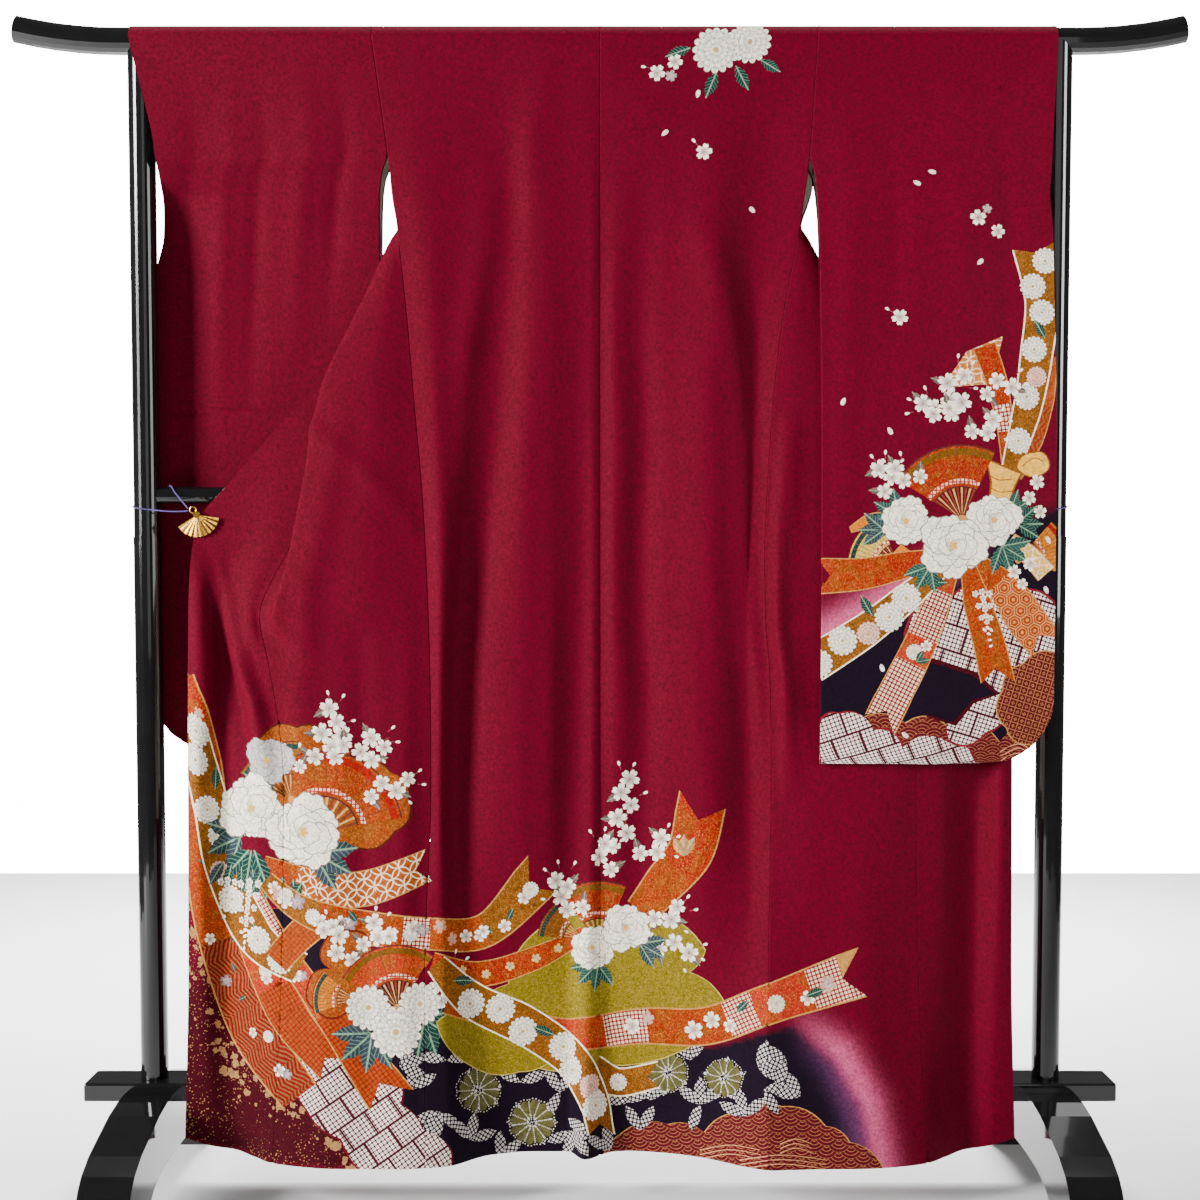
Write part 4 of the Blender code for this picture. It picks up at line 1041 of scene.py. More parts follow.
def outline(surface, edges):
    """Cut line of a sheet, anticlockwise, from its edges: first side, far end, last side and near end."""
    low, high = edges["ends"], surface.t[-1] - edges["ends"]
    beyond_turn = TURN_RADIUS * (math.pi / 2 - 1) + TURN_DEPTH
    first = edges["first"] - beyond_turn * edges["turn_first"]
    last = edges["last"] - beyond_turn * edges["turn_last"]
    points = [(s, low) for s in run_points(first, surface.width_at(low) - last)]
    if surface.neck:
        above, beyond = surface.neck - NECK_STEP, surface.neck + NECK_STEP
        points += [(surface.width_at(t) - last, t) for t in run_points(low, above)]
        points += [(s, above) for s in run_points(surface.width_at(above) - last, surface.width_at(beyond) - last)]
        points += [(surface.width_at(t) - last, t) for t in run_points(beyond, high)]
    else:
        points += [(surface.width_at(t) - last, t) for t in run_points(low, high)]
    points += [(s, high) for s in run_points(surface.width_at(high) - last, first)]
    points += [(first, t) for t in run_points(high, low)]
    return points


def hem_lines(surface, edges):
    """Places along a sheet at which its lining changes to the crimson of the hem."""
    places = (HEM_LINING_HEIGHT, surface.t[-1] - HEM_LINING_HEIGHT)
    return [t for t, lined in zip(places, edges["hems"]) if lined]


def grid_points(surface, edges):
    """Staggered points inside the sheet, and rows along the turned-in edges and the folds."""
    found = []
    margin = GRID_MARGIN
    low, high = edges["ends"] + margin, surface.t[-1] - edges["ends"] - margin
    for t in run_points(low, high):
        if surface.neck and abs(t - surface.neck) < margin:
            continue
        for step in TURN_STEPS:
            if edges["turn_first"]:
                found.append((edges["first"] + TURN_RADIUS - step, t))
            if edges["turn_last"]:
                found.append((surface.width_at(t) - edges["last"] - TURN_RADIUS + step, t))
    for places, line in surface.folds:
        for t in run_points(places[0], places[-1]):
            s = np.interp(t, places, line)
            found += [(s + step, t) for step in FOLD_STEPS]
    rows = int(surface.t[-1] / ROW_PITCH)
    for k in range(1, rows):
        t = surface.t[-1] * k / rows
        if not low < t < high or any(abs(t - line) < HEM_MARGIN for line in hem_lines(surface, edges)):
            continue
        width = surface.width_at(t)
        if surface.neck and abs(t - surface.neck) < margin:
            width = min(width, surface.width_at(surface.neck + 0.001))
        folds = [np.interp(t, places, line) for places, line in surface.folds if places[0] < t < places[-1]]
        count = max(1, int(width / GRID))
        gap = width / count
        for c in range(count + 1):
            s = (c + k % 2 / 2) * gap
            near_fold = any(abs(s - fold) < margin for fold in folds)
            if not near_fold and edges["first"] + margin < s < width - edges["last"] - margin:
                found.append((s, t))
    return found


def counterclockwise(points):
    x, y = points[:, 0], points[:, 1]
    area = np.sum(x * np.roll(y, -1) - y * np.roll(x, -1))
    return points if area > 0 else points[::-1]


def cut_sheet(surface, edges, shapes):
    """Flat points and triangles of a sheet, and the shape that each triangle lies in: 0 is the bare cloth."""
    lines = [np.array(outline(surface, edges))]
    lines += [counterclockwise(np.asarray(shape["points"], float)) for shape in shapes]
    starts = np.cumsum([0] + [len(line) for line in lines])
    faces = [list(range(a, b)) for a, b in zip(starts[:-1], starts[1:])]
    lines.append(np.array(grid_points(surface, edges)))
    across_hem, count = [], starts[-1] + len(lines[-1])
    for t in hem_lines(surface, edges):
        line = [(s, t) for s in run_points(edges["first"] + 0.001, surface.width_at(t) - edges["last"] - 0.001)]
        across_hem += [(int(count) + k, int(count) + k + 1) for k in range(len(line) - 1)]
        count += len(line)
        lines.append(np.array(line))
    cut = delaunay_2d_cdt([Vector(p) for p in np.concatenate(lines)], across_hem, faces, 1, 1e-6, True)
    inside = [(face, max(origin)) for face, origin in zip(cut[2], cut[5]) if len(face) == 3 and 0 in origin]
    used, inverse = np.unique([face for face, _ in inside], return_inverse=True)
    spots = np.array([tuple(v) for v in cut[0]])[used]
    return spots, inverse.reshape(-1, 3), np.array([owner for _, owner in inside])


def corner_dyes(spots, triangles, owners, shapes, base):
    """Dye and place in the motif at each corner of each triangle."""
    first_dye = np.array([(0, 0, 0)] + [s["dye"] or (0, 0, 0) for s in shapes], float)
    last_dye = np.array([(0, 0, 0)] + [s["fade"] or s["dye"] or (0, 0, 0) for s in shapes], float)
    own = np.array([(0, 0, 0, 1.0)] + [s["frame"] for s in shapes], float)[owners]
    away = spots[triangles] - own[:, None, :2]
    cos, sin, scale = np.cos(own[:, 2])[:, None], np.sin(own[:, 2])[:, None], own[:, None, 3]
    dx, dy = away[..., 0], away[..., 1]
    local = np.stack([(dx * cos + dy * sin) / scale, (dy * cos - dx * sin) / scale], axis=2)
    share = np.clip(local[..., 1:] * 0.5 + 0.5, 0, 1)
    dye = first_dye[owners][:, None] * (1 - share) + last_dye[owners][:, None] * share
    bare = np.array([True] + [s["dye"] is None for s in shapes])[owners]
    dye[bare] = base[triangles[bare]]
    return dye, local


def open_sides(triangles):
    """Sides that belong to one triangle only."""
    sides = {}
    for tri in triangles.tolist():
        for a, b in ((tri[0], tri[1]), (tri[1], tri[2]), (tri[2], tri[0])):
            if (b, a) in sides:
                del sides[b, a]
            else:
                sides[a, b] = True
    return list(sides)


def cut_piece(name, surface, edges, shapes, creases, ground, layout, materials, wall):
    """Mesh of a lined piece: the dyed face with every drawn shape cut into it, the lining and the rim."""
    kinds = list(materials)
    spots, triangles, owners = cut_sheet(surface, edges, shapes)
    points, normals = surface.place(spots, creases, edges)
    if surface.outward < 0:
        triangles = triangles[:, ::-1]
    base = ground(surface, spots)
    dye, local = corner_dyes(spots, triangles, owners, shapes, base)
    # both faces of the wall and its rim
    total = len(spots)
    walls = np.concatenate([points + normals * wall / 2, points - normals * wall / 2])
    rim = np.array([(a, a + total, b + total, b) for a, b in open_sides(triangles)])
    turned = triangles[:, ::-1]
    mesh = bpy.data.meshes.new(name)
    mesh.from_pydata(walls.tolist(), [], triangles.tolist() + (turned + total).tolist() + rim.tolist())
    for kind in kinds:
        mesh.materials.append(materials[kind])
    height = np.stack([spots[:, 1], surface.t[-1] - spots[:, 1]])[np.array(edges["hems"])]
    hem = np.min(height, axis=0, initial=9.0)[triangles].mean(axis=1)
    inside = np.where(hem < HEM_LINING_HEIGHT, kinds.index("hem_lining"), kinds.index("lining"))
    kind_of = np.array([kinds.index("crepe")] + [kinds.index(s["kind"]) for s in shapes])
    index = np.concatenate([kind_of[owners], inside, np.full(len(rim), kinds.index("crepe"))])
    mesh.polygons.foreach_set("material_index", index.astype(np.int32))
    # corner data in the order of the polygons
    colours = np.concatenate([part.reshape(-1, 3) for part in (dye, dye[:, ::-1], base[rim[:, [0, 0, 3, 3]]])])
    colours = np.concatenate([colours, np.ones((len(colours), 1))], axis=1)
    mesh.color_attributes.new("dye", "FLOAT_COLOR", "CORNER").data.foreach_set("color", colours.ravel())
    step = np.arange(len(rim)) / max(len(rim), 1)
    rim_uv = np.stack([np.tile(RIM_ACROSS, (len(rim), 1)),
                       step[:, None] + np.array([0, 0, 0.7, 0.7]) / max(len(rim), 1)], axis=2)
    bake = [layout["outer"](spots[triangles].reshape(-1, 2)), layout["inner"](spots[turned].reshape(-1, 2)), rim_uv]
    motif = [local, local[:, ::-1], np.zeros((4 * len(rim), 2))]
    for layer, parts in (("OFBake", bake), ("motif", motif)):
        data = np.concatenate([part.reshape(-1, 2) for part in parts])
        mesh.uv_layers.new(name=layer).data.foreach_set("uv", data.ravel())
    smooth_faces = np.arange(len(index)) < 2 * len(triangles)
    mesh.polygons.foreach_set("use_smooth", smooth_faces)
    corner = walls[rim]
    rim_normal = unit(np.cross(corner[:, 1] - corner[:, 0], corner[:, 3] - corner[:, 0]))
    corner_normals = [normals[triangles].reshape(-1, 3), -normals[turned].reshape(-1, 3),
                      np.repeat(rim_normal, 4, axis=0)]
    mesh.update()
    mesh.normals_split_custom_set(np.concatenate(corner_normals).tolist())
    return link(name, mesh)


# columns of a piece's own picture, start and span across it: the cloth in one run, or its back half and its front
# half where it is folded, the lining, then the rim
WHOLE, BACK_HALF, FRONT_HALF, LINING = (0.004, 0.90), (0.004, 0.455), (0.466, 0.455), (0.930, 0.060)
RIM_ACROSS = (0.9965, 0.9990, 0.9990, 0.9965)
PICTURE_WIDTHS = {"body": 0.335, "overlap": 0.17, "sleeve": 0.36, "collar": 0.118}


def strip_layout(surface, width):
    """Places on a piece's own picture of its two faces."""
    total, turn = surface.t[-1], surface.turn

    def place(flat, column, share):
        return np.stack([column[0] + flat[:, 0] / width * column[1], 0.002 + share * 0.996], axis=1)

    def outer(flat):
        if turn is None:
            return place(flat, WHOLE, flat[:, 1] / total)
        far = flat[:, 1] > turn
        share = np.where(far, total - flat[:, 1], flat[:, 1]) / max(turn, total - turn)
        return np.where(far[:, None], place(flat, FRONT_HALF, share), place(flat, BACK_HALF, share))
    return {"outer": outer, "inner": lambda flat: place(flat, LINING, flat[:, 1] / total)}

# ---------------------------------------------------------------- the dyed design

# The design is laid out on the view from the camera, 1200 units square, and carried from there onto each piece.
UNIT = 2.54 / 1736
VIEW_CENTRE = (600.0, 676.0)
VIEW_DEPTH = 1736.0


def viewed(points):
    """Places of points in the view."""
    s, c = math.sin(CAMERA_DIP), math.cos(CAMERA_DIP)
    rise = points[..., 2] - CAMERA_PLACE[2]
    away = points[..., 1] - CAMERA_PLACE[1]
    depth = c * away - s * rise
    return np.stack([VIEW_CENTRE[0] + VIEW_DEPTH * points[..., 0] / depth,
                     VIEW_CENTRE[1] - VIEW_DEPTH * (c * rise + s * away) / depth], axis=-1)


# places carried at a time, the least area in square view units that a step each way on the cloth covers, and the
# metres a row beyond its ends
BATCH = 400
LEAST_AREA = 0.05
ROW_LENGTH = 0.0067


class Field:
    """One face of a piece, with the way from the view to its flat coordinates."""

    def __init__(self, surface, low, high, mirrored=False):
        rows = np.flatnonzero((surface.t >= low) & (surface.t <= high))[::2]
        self.surface = surface
        self.rows = rows
        spots = surface.points[rows]
        if mirrored:
            spots = spots * (-1, -1, 1)
        self.spots = viewed(spots)
        self.right = np.gradient(self.spots, axis=1)
        self.up = np.gradient(self.spots, axis=0) / np.maximum(np.gradient(rows.astype(float)), 1)[:, None, None]
        flat = self.spots.reshape(-1, 2)
        self.low, self.high = flat.min(axis=0), flat.max(axis=0)

    def flat(self, wanted):
        wanted = np.asarray(wanted, float)
        all_spots = self.spots.reshape(-1, 2)
        columns = self.spots.shape[1]
        found = np.empty((len(wanted), 2))
        for k in range(0, len(wanted), BATCH):
            part = wanted[k:k + BATCH]
            gap = ((part[:, None] - all_spots[None]) ** 2).sum(axis=2)
            near = gap.argmin(axis=1)
            r, j = near // columns, near % columns
            away = part - self.spots[r, j]
            a, b = self.right[r, j], self.up[r, j]
            det = a[:, 0] * b[:, 1] - a[:, 1] * b[:, 0]
            det = np.where(np.abs(det) < LEAST_AREA, LEAST_AREA * np.sign(det + 1e-9), det)
            dj = (away[:, 0] * b[:, 1] - away[:, 1] * b[:, 0]) / det
            dr = (a[:, 0] * away[:, 1] - a[:, 1] * away[:, 0]) / det
            row = self.rows[r] + dr
            last = len(self.surface.t) - 1
            t = np.interp(row, np.arange(last + 1), self.surface.t)
            t = t + np.where(row > last, (row - last) * ROW_LENGTH, 0) + np.where(row < 0, row * ROW_LENGTH, 0)
            width = np.interp(row, np.arange(last + 1), self.surface.width)
            found[k:k + BATCH] = np.stack([(j + dj) / ACROSS * width, t], axis=1)
        return found


def polar(outline_at, count):
    made = []
    for k in range(count):
        share = k / count
        far = outline_at(share)
        made.append((far * math.cos(2 * math.pi * share), far * math.sin(2 * math.pi * share)))
    return made


def blossom_edge(share):
    w = (share * 5 + 0.5) % 1 * 2 - 1
    return (1 - abs(w) ** 2.6 * 0.55) * (1 - 0.15 * math.exp(-(w / 0.17) ** 2))


def scallops(count, depth):
    def edge(share):
        w = (share * count + 0.5) % 1 * 2 - 1
        return 1 - depth * w * w
    return edge


BLOSSOM = polar(blossom_edge, 40)
MUM = polar(scallops(16, 0.16), 64)
PEONY_PETAL = [(-0.95, 0), (-0.70, 0.55), (-0.15, 0.98), (0.38, 0.92), (0.66, 0.66), (0.90, 0.50), (0.96, 0.20),
               (0.86, 0.0), (0.98, -0.22), (0.88, -0.52), (0.62, -0.62), (0.36, -0.94), (-0.15, -0.98), (-0.70, -0.55)]
DISC = polar(lambda share: 1.0, 14)
LEAF = [(-1, 0), (-0.72, 0.22), (-0.5, 0.27), (-0.42, 0.40), (-0.12, 0.36), (0.0, 0.46), (0.3, 0.33), (0.42, 0.36),
        (0.68, 0.16), (1, 0), (0.68, -0.16), (0.42, -0.36), (0.3, -0.33), (0.0, -0.46), (-0.12, -0.36),
        (-0.42, -0.40), (-0.5, -0.27), (-0.72, -0.22)]
PETAL = [(-1, 0), (-0.5, 0.42), (0.2, 0.55), (0.8, 0.35), (0.9, 0.0), (0.8, -0.35), (0.2, -0.55), (-0.5, -0.42)]


LEAF_GREEN = rgb(38, 82, 74)
CREST_PETAL = [(-1, 0), (-0.2, 0.30), (0.6, 0.46), (0.95, 0.25), (1, 0), (0.95, -0.25), (0.6, -0.46), (-0.2, -0.30)]
DOTTED_LEAF = [(-1, 0), (-0.6, 0.27), (0, 0.40), (0.5, 0.34), (1, 0), (0.5, -0.34), (0, -0.40), (-0.6, -0.27)]


class Design:
    """A list of shapes in view units: stamps, which keep their form, and areas, whose every point is carried."""

    def __init__(self):
        self.marks = []

    def stamp(self, x, y, size, turn, points, kind, dye, fade=None):
        self.marks.append({"at": (x, y), "size": size, "turn": turn, "unit": np.array(points, float),
                           "kind": kind, "dye": dye, "fade": fade})

    def area(self, points, kind, dye, turn=0.0):
        points = np.array(points, float)
        self.marks.append({"at": tuple(points.mean(axis=0)), "area": points, "turn": turn, "kind": kind,
                           "dye": dye, "fade": None})

    # flowers

    def blossom(self, x, y, size=7.5, turn=0.0, dye=IVORY):
        self.stamp(x, y, size, turn, BLOSSOM, "blossom", dye)

    def petals(self, *places):
        """Loose petals."""
        for x, y in places:
            self.stamp(x, y, 4.2, 0.02 * x, PETAL, "crepe", IVORY, rgb(226, 206, 204))

    def mum(self, x, y, size=16, turn=0.0, dye=IVORY):
        self.stamp(x, y, size * 1.03, turn, MUM, "crepe", rgb(128, 112, 96))
        self.stamp(x, y, size, turn, MUM, "mum", dye)

    def peony(self, x, y, size=30, turn=0.0, dye=IVORY):
        """Three rings of notched petals, each lying over the one outside it, and gold stamens."""
        for ring, (count, far, reach) in enumerate(((8, 0.58, 0.46), (6, 0.36, 0.39), (4, 0.15, 0.31))):
            for k in range(count):
                a = turn + ring * 0.5 + 2 * math.pi * (k + 0.18 * math.sin(5.1 * k + x)) / count
                out = far * (1 + 0.10 * math.sin(3.7 * k + y + ring))
                cx, cy = x + size * out * math.cos(a), y + size * out * 0.92 * math.sin(a)
                wide = size * reach * (1 + 0.16 * math.sin(2.3 * k + x))
                self.stamp(cx, cy, wide * 1.06, -a, PEONY_PETAL, "crepe", rgb(134, 122, 116))
                self.stamp(cx, cy, wide, -a, PEONY_PETAL, "peony", dye)
        self.stamp(x, y, size * 0.15, turn, BLOSSOM, "crepe", rgb(218, 176, 84))

    def leaf(self, x, y, size, turn, dye=LEAF_GREEN):
        """A leaf whose stalk is at the point."""
        degrees = math.radians(turn)
        cx, cy = x + size * math.cos(degrees), y - size * math.sin(degrees)
        self.stamp(cx, cy, size, degrees, LEAF, "leaf", dye)

    def leaves(self, x, y, size, turns, dye=LEAF_GREEN):
        for turn in turns:
            self.leaf(x, y, size, turn, dye)

    def bud(self, x, y, turn):
        degrees = math.radians(turn)
        self.stroke([(x, y), (x + 5 * math.cos(degrees), y - 5 * math.sin(degrees))], 0.9, rgb(132, 70, 74))
        self.stamp(x + 6.6 * math.cos(degrees), y - 6.6 * math.sin(degrees), 2.6, degrees, PETAL, "crepe", IVORY)

    def stroke(self, line, width, dye, taper=1.0):
        """A drawn line of even or tapering width."""
        line = curve(line, 6 if len(line) > 2 else 1)
        self.area(two_sides(line, [width * (1 + (taper - 1) * k / (len(line) - 1)) for k in range(len(line))]),
                  "crepe", dye)

    def spray(self, x, y, turn, flowers, size=7.5):
        """A flowering cherry twig: flowers at places along and beside it, with buds and small leaves."""
        way = math.radians(turn)
        c, s = math.cos(way), math.sin(way)

        def put(along_it, beside):
            return x + along_it * c + beside * s, y - along_it * s + beside * c
        reach = max(f[0] for f in flowers) + size * 0.9
        self.stroke([(x, y), put(reach * 0.5, reach * 0.06), put(reach, 0)], 1.8, rgb(120, 66, 62), 0.35)
        for k, (a, b) in enumerate(flowers):
            px, py = put(a, b)
            if k % 2 == 0:
                self.leaf(px, py, size * 0.9, turn + (70 if b < 0 else -70) + 15 * k, rgb(128, 84, 84))
        for a, b in ((reach, -size * 0.6), (reach, size * 0.5), (reach * 0.7, size * 1.6)):
            px, py = put(a, b)
            self.bud(px, py, turn - b * 4)
        for k, (a, b) in enumerate(flowers):
            px, py = put(a, b)
            self.blossom(px, py, size * (0.92 + 0.16 * (k % 3) / 2), 0.7 * k)

    def wisteria(self, x, y, length, lean=0.0, size=5.0):
        count = int(length / 6)
        for k in range(count):
            share = k / count
            wide = size * 1.9 * (1 - share * 0.85)
            for side in (-1, 0, 1):
                if side and k % 2:
                    continue
                if side == 0 or share < 0.8:
                    self.stamp(x + side * wide + lean * share * length, y + k * 6 + abs(side) * 2,
                               size * (1 - 0.45 * share), 0.4 * k, BLOSSOM if share < 0.6 else PETAL,
                               "blossom" if share < 0.6 else "crepe", IVORY)

    # cloth bands and other things

    def ribbon(self, line, widths, pieces, edge=GOLD_LINE, edge_width=1.1, tails=(False, False)):
        """A long band along a curve: its edge line, then one filled length after another."""
        fine = curve(line, 8)
        run = np.concatenate([[0], np.cumsum(np.linalg.norm(np.diff(fine, axis=0), axis=1))])
        run /= run[-1]
        wide = np.interp(run, np.linspace(0, 1, len(widths)), widths)
        self.area(two_sides(fine, wide + 2 * edge_width, tails), "crepe", edge)
        start = 0.0
        for end, kind, dye in pieces:
            inside = [k for k in range(len(fine)) if start <= run[k] <= end + 1e-6]
            step = 6 if kind in ("crepe", "brocade", "gilt") else 3
            marks = list(range(inside[0], inside[-1], step)) + [inside[-1]]
            if tails[1] and inside[-1] == len(fine) - 1 and len(marks) > 3:
                del marks[-3:-1]
            if tails[0] and inside[0] == 0 and len(marks) > 3:
                del marks[1:3]
            for a, b in zip(marks[:-1], marks[1:]):
                ends = (tails[0] and a == 0, tails[1] and b == len(fine) - 1)
                way = fine[b] - fine[a]
                self.area(two_sides(fine, wide, ends, a, b), kind, dye, turn=math.atan2(-way[1], way[0]))
            start = run[inside[-1]]
        return fine

    def fan(self, x, y, size, turn, spread_angle, leaf_dye, edge_dye, kind="brocade"):
        """An open folding fan: sticks, leaf with a band, and rim."""
        first, last = math.radians(turn - spread_angle / 2), math.radians(turn + spread_angle / 2)

        def arc(far, a, b, steps):
            return [(x + far * math.cos(a + (b - a) * k / steps), y - far * math.sin(a + (b - a) * k / steps))
                    for k in range(steps + 1)]
        ribs = 11
        for k in range(ribs):
            a = first + (last - first) * (k + 0.25) / ribs
            b = first + (last - first) * (k + 0.75) / ribs
            self.area(arc(size * 0.08, a, b, 1) + arc(size * 0.5, b, a, 1), "crepe",
                      rgb(206, 160, 92) if k % 2 else rgb(120, 60, 40))
        self.area(arc(size * 0.44, first, last, 12) + arc(size * 1.02, last, first, 22), "crepe", rgb(92, 40, 36))
        self.area(arc(size * 0.46, first, last, 12) + arc(size, last, first, 22), kind, leaf_dye, turn=0.3)
        self.area(arc(size * 0.88, first, last, 22) + arc(size * 0.97, last, first, 22), "crepe", edge_dye)
        self.area(arc(size * 0.50, first, last, 12) + arc(size * 0.56, last, first, 12), "kanoko", rgb(176, 40, 36))
        for k in range(1, ribs):
            a = first + (last - first) * k / ribs
            self.area(arc(size * 0.46, a - 0.008, a + 0.008, 1) + arc(size, a + 0.006, a - 0.006, 1), "crepe",
                      rgb(120, 62, 40))
        self.stamp(x, y, size * 0.07, 0, DISC, "crepe", GOLD_LINE)

    def crest(self, x, y, size, turn=0.0):
        """A tie-dyed chrysanthemum: olive petals edged with white dots."""
        count = 12
        for k in range(count):
            a = turn + 2 * math.pi * k / count
            self.stamp(x + size * 0.60 * math.cos(a), y + size * 0.60 * math.sin(a), size * 0.42, -a,
                       CREST_PETAL, "crepe", rgb(58, 52, 26), rgb(120, 116, 66))
            between = [(size * (0.22 + 0.70 * (j / 8)), a + math.pi / count) for j in range(9)]
            rim = [(size * (1.08 - 1.2 * w * w), a + w) for w in (-0.21, -0.07, 0.07, 0.21)]
            for far, at in between + rim:
                self.stamp(x + far * math.cos(at), y + far * math.sin(at), size * 0.036, 0,
                           DISC[::2], "crepe", rgb(196, 190, 168))

    def dotted_leaves(self, x, y, size, turns):
        """Leaves drawn in tie-dyed dots."""
        for turn in turns:
            way = math.radians(turn)
            cx, cy = x + size * math.cos(way), y - size * math.sin(way)
            spots = [(cx + size * (a * math.cos(way) + b * math.sin(way)),
                      cy - size * (a * math.sin(way) - b * math.cos(way))) for a, b in DOTTED_LEAF]
            self.area(spots, "dotted", PURPLE_BLACK, turn=way + math.pi / 4)

    def strew(self, fine, reach, count, seed, size=6.5):
        """Small flowers and leaves strewn along a band."""
        chance = random.Random(seed)
        for k in range(count):
            at = fine[int((k + chance.random()) / count * (len(fine) - 1))]
            x, y = at[0] + chance.uniform(-reach, reach), at[1] + chance.uniform(-reach, reach)
            kind = chance.choice(("white", "white", "white", "mum", "leaf", "leaf", "grey", "red"))
            if kind == "leaf":
                self.leaf(x, y, size * 0.9, chance.uniform(0, 360), TEAL)
            elif kind == "mum":
                self.mum(x, y, size, k)
            else:
                dye = {"white": IVORY, "grey": rgb(150, 136, 138), "red": rgb(222, 150, 110)}[kind]
                self.blossom(x, y, size * chance.uniform(0.8, 1.15), k, dye)

    def gold_leaf(self, line, reach, count, seed):
        """Torn gold leaf scattered along a line."""
        chance = random.Random(seed)
        fine = curve(line, 12)
        for k in range(count):
            at = fine[chance.randrange(len(fine))]
            size = chance.uniform(1.8, 5.4) if k % 4 == 0 else chance.uniform(0.5, 1.3)
            corners = [(math.cos(2 * math.pi * j / 11) * far, math.sin(2 * math.pi * j / 11) * far)
                       for j, far in enumerate(chance.uniform(0.5, 1.15) for _ in range(11))]
            spread = reach if k % 4 == 0 else reach * 1.7
            self.stamp(at[0] + chance.gauss(0, spread), at[1] + chance.gauss(0, spread), size, k,
                       corners if k % 4 == 0 else corners[::3], "crepe", rgb(166, 122, 78))

    def stream(self, line, count):
        """Parallel flowing lines of water."""
        for k in range(count):
            self.stroke([(x, y + k * 4.5) for x, y in line], 1.1, rgb(214, 150, 110), 0.4)

    def lobed(self, points, kind, dye, turn=0.0, edge=None, edge_width=1.2, bulge=0.22):
        """A closed patch whose sides swell out between its corners."""
        made = []
        count = len(points)
        for k in range(count):
            a, b = np.array(points[k], float), np.array(points[(k + 1) % count], float)
            way = b - a
            out = np.array((way[1], -way[0]))
            for step in range(6):
                w = step / 6
                made.append(a + way * w + out * bulge * 4 * w * (1 - w))
        made = np.array(made)
        if edge is not None:
            centre = made.mean(axis=0)
            away = made - centre
            far = np.linalg.norm(away, axis=1)[:, None]
            self.area(made, "crepe", edge)
            made = centre + away * (far - edge_width) / far
        self.area(made, kind, dye, turn=turn)


def curve(line, steps):
    line = np.array(line, float)
    if steps == 1 or len(line) < 3:
        return line
    places = np.linspace(0, len(line) - 1, (len(line) - 1) * steps + 1)
    last = len(line) - 1
    made = []
    for place in places:
        i = min(int(place), last - 1)
        f = place - i
        p0, p1, p2, p3 = line[max(i - 1, 0)], line[i], line[i + 1], line[min(i + 2, last)]
        made.append(0.5 * (2 * p1 + (p2 - p0) * f + (2 * p0 - 5 * p1 + 4 * p2 - p3) * f * f
                           + (3 * p1 - p0 - 3 * p2 + p3) * f ** 3))
    return np.array(made)


def two_sides(line, widths, tails=(False, False), first=0, last=None):
    """Outline of a band along a line, its ends square or cut to a swallow's tail."""
    last = len(line) - 1 if last is None else last
    widths = np.asarray(widths, float)
    way = np.gradient(line, axis=0)
    way /= np.maximum(np.linalg.norm(way, axis=1), 1e-9)[:, None]
    side = np.stack([way[:, 1], -way[:, 0]], axis=1) * widths[:, None] / 2
    left, right = line + side, line - side
    made = list(left[first:last + 1])
    if tails[1]:
        deep = way[last] * widths[last] * 0.5
        made[-1] = made[-1] + deep * 0.7
        made.append(line[last] - deep * 0.35)
        made.append(right[last] + deep * 0.35)
    else:
        made.append(right[last])
    made += list(right[first:last][::-1])
    if tails[0]:
        deep = way[first] * widths[first] * 0.5
        made.append(line[first] + deep * 0.35)
    return np.array(made)


def carry(field, marks):
    """Shapes in a face's flat coordinates, for the marks that reach it."""
    near = []
    for mark in marks:
        reach = 4 + (np.abs(mark["area"] - mark["at"]).max() if "area" in mark else mark["size"] * 3.2)
        at = np.array(mark["at"])
        if (at + reach > field.low).all() and (at - reach < field.high).all():
            near.append(mark)
    if not near:
        return []
    wanted = []
    for mark in near:
        x, y = mark["at"]
        wanted += [(x, y), (x + 4, y), (x, y - 4)]
        if "area" in mark:
            wanted += list(mark["area"])
    found = field.flat(wanted)
    made, k = [], 0
    for mark in near:
        centre, east, north = found[k:k + 3]
        k += 3
        right = (east - centre) / max(np.linalg.norm(east - centre), 1e-9)
        up = north - centre
        up = up - right * (up @ right)
        up = up / max(np.linalg.norm(up), 1e-9)
        turn = mark["turn"]
        ahead = right * math.cos(turn) + up * math.sin(turn)
        beside = up * math.cos(turn) - right * math.sin(turn)
        angle = math.atan2(ahead[1], ahead[0])
        if "area" in mark:
            points = found[k:k + len(mark["area"])]
            k += len(mark["area"])
            scale = 1.0
        else:
            scale = mark["size"] * UNIT
            points = centre + scale * (mark["unit"][:, :1] * ahead + mark["unit"][:, 1:] * beside)
        made.append({"points": points, "kind": mark["kind"], "dye": mark["dye"], "fade": mark["fade"],
                     "frame": (*centre, angle, scale)})
    return made

# ---------------------------------------------------------------- the design's drawing

MAROON = rgb(66, 4, 18)
PURPLE_BLACK = rgb(22, 8, 26)
GOLD_TAN = rgb(116, 78, 20)
VERMILION = rgb(156, 17, 2)
CORAL = rgb(176, 34, 26)
ORANGE = rgb(154, 46, 4)
OLIVE_GOLD = rgb(124, 108, 8)
TEAL = rgb(22, 62, 54)
SLATE = rgb(56, 66, 78)
WINE = rgb(92, 16, 28)
WINE_EDGE = rgb(126, 26, 40)
HILL_EDGE = rgb(190, 170, 84)
CREAM = rgb(240, 226, 190)
KANOKO_RED = rgb(140, 26, 20)
KANOKO_CRIMSON = rgb(130, 24, 20)
MUSTARD = rgb(204, 124, 14)
PALE_YELLOW = rgb(226, 190, 96)
PINK = rgb(236, 112, 160)
DUSKY = rgb(176, 160, 158)


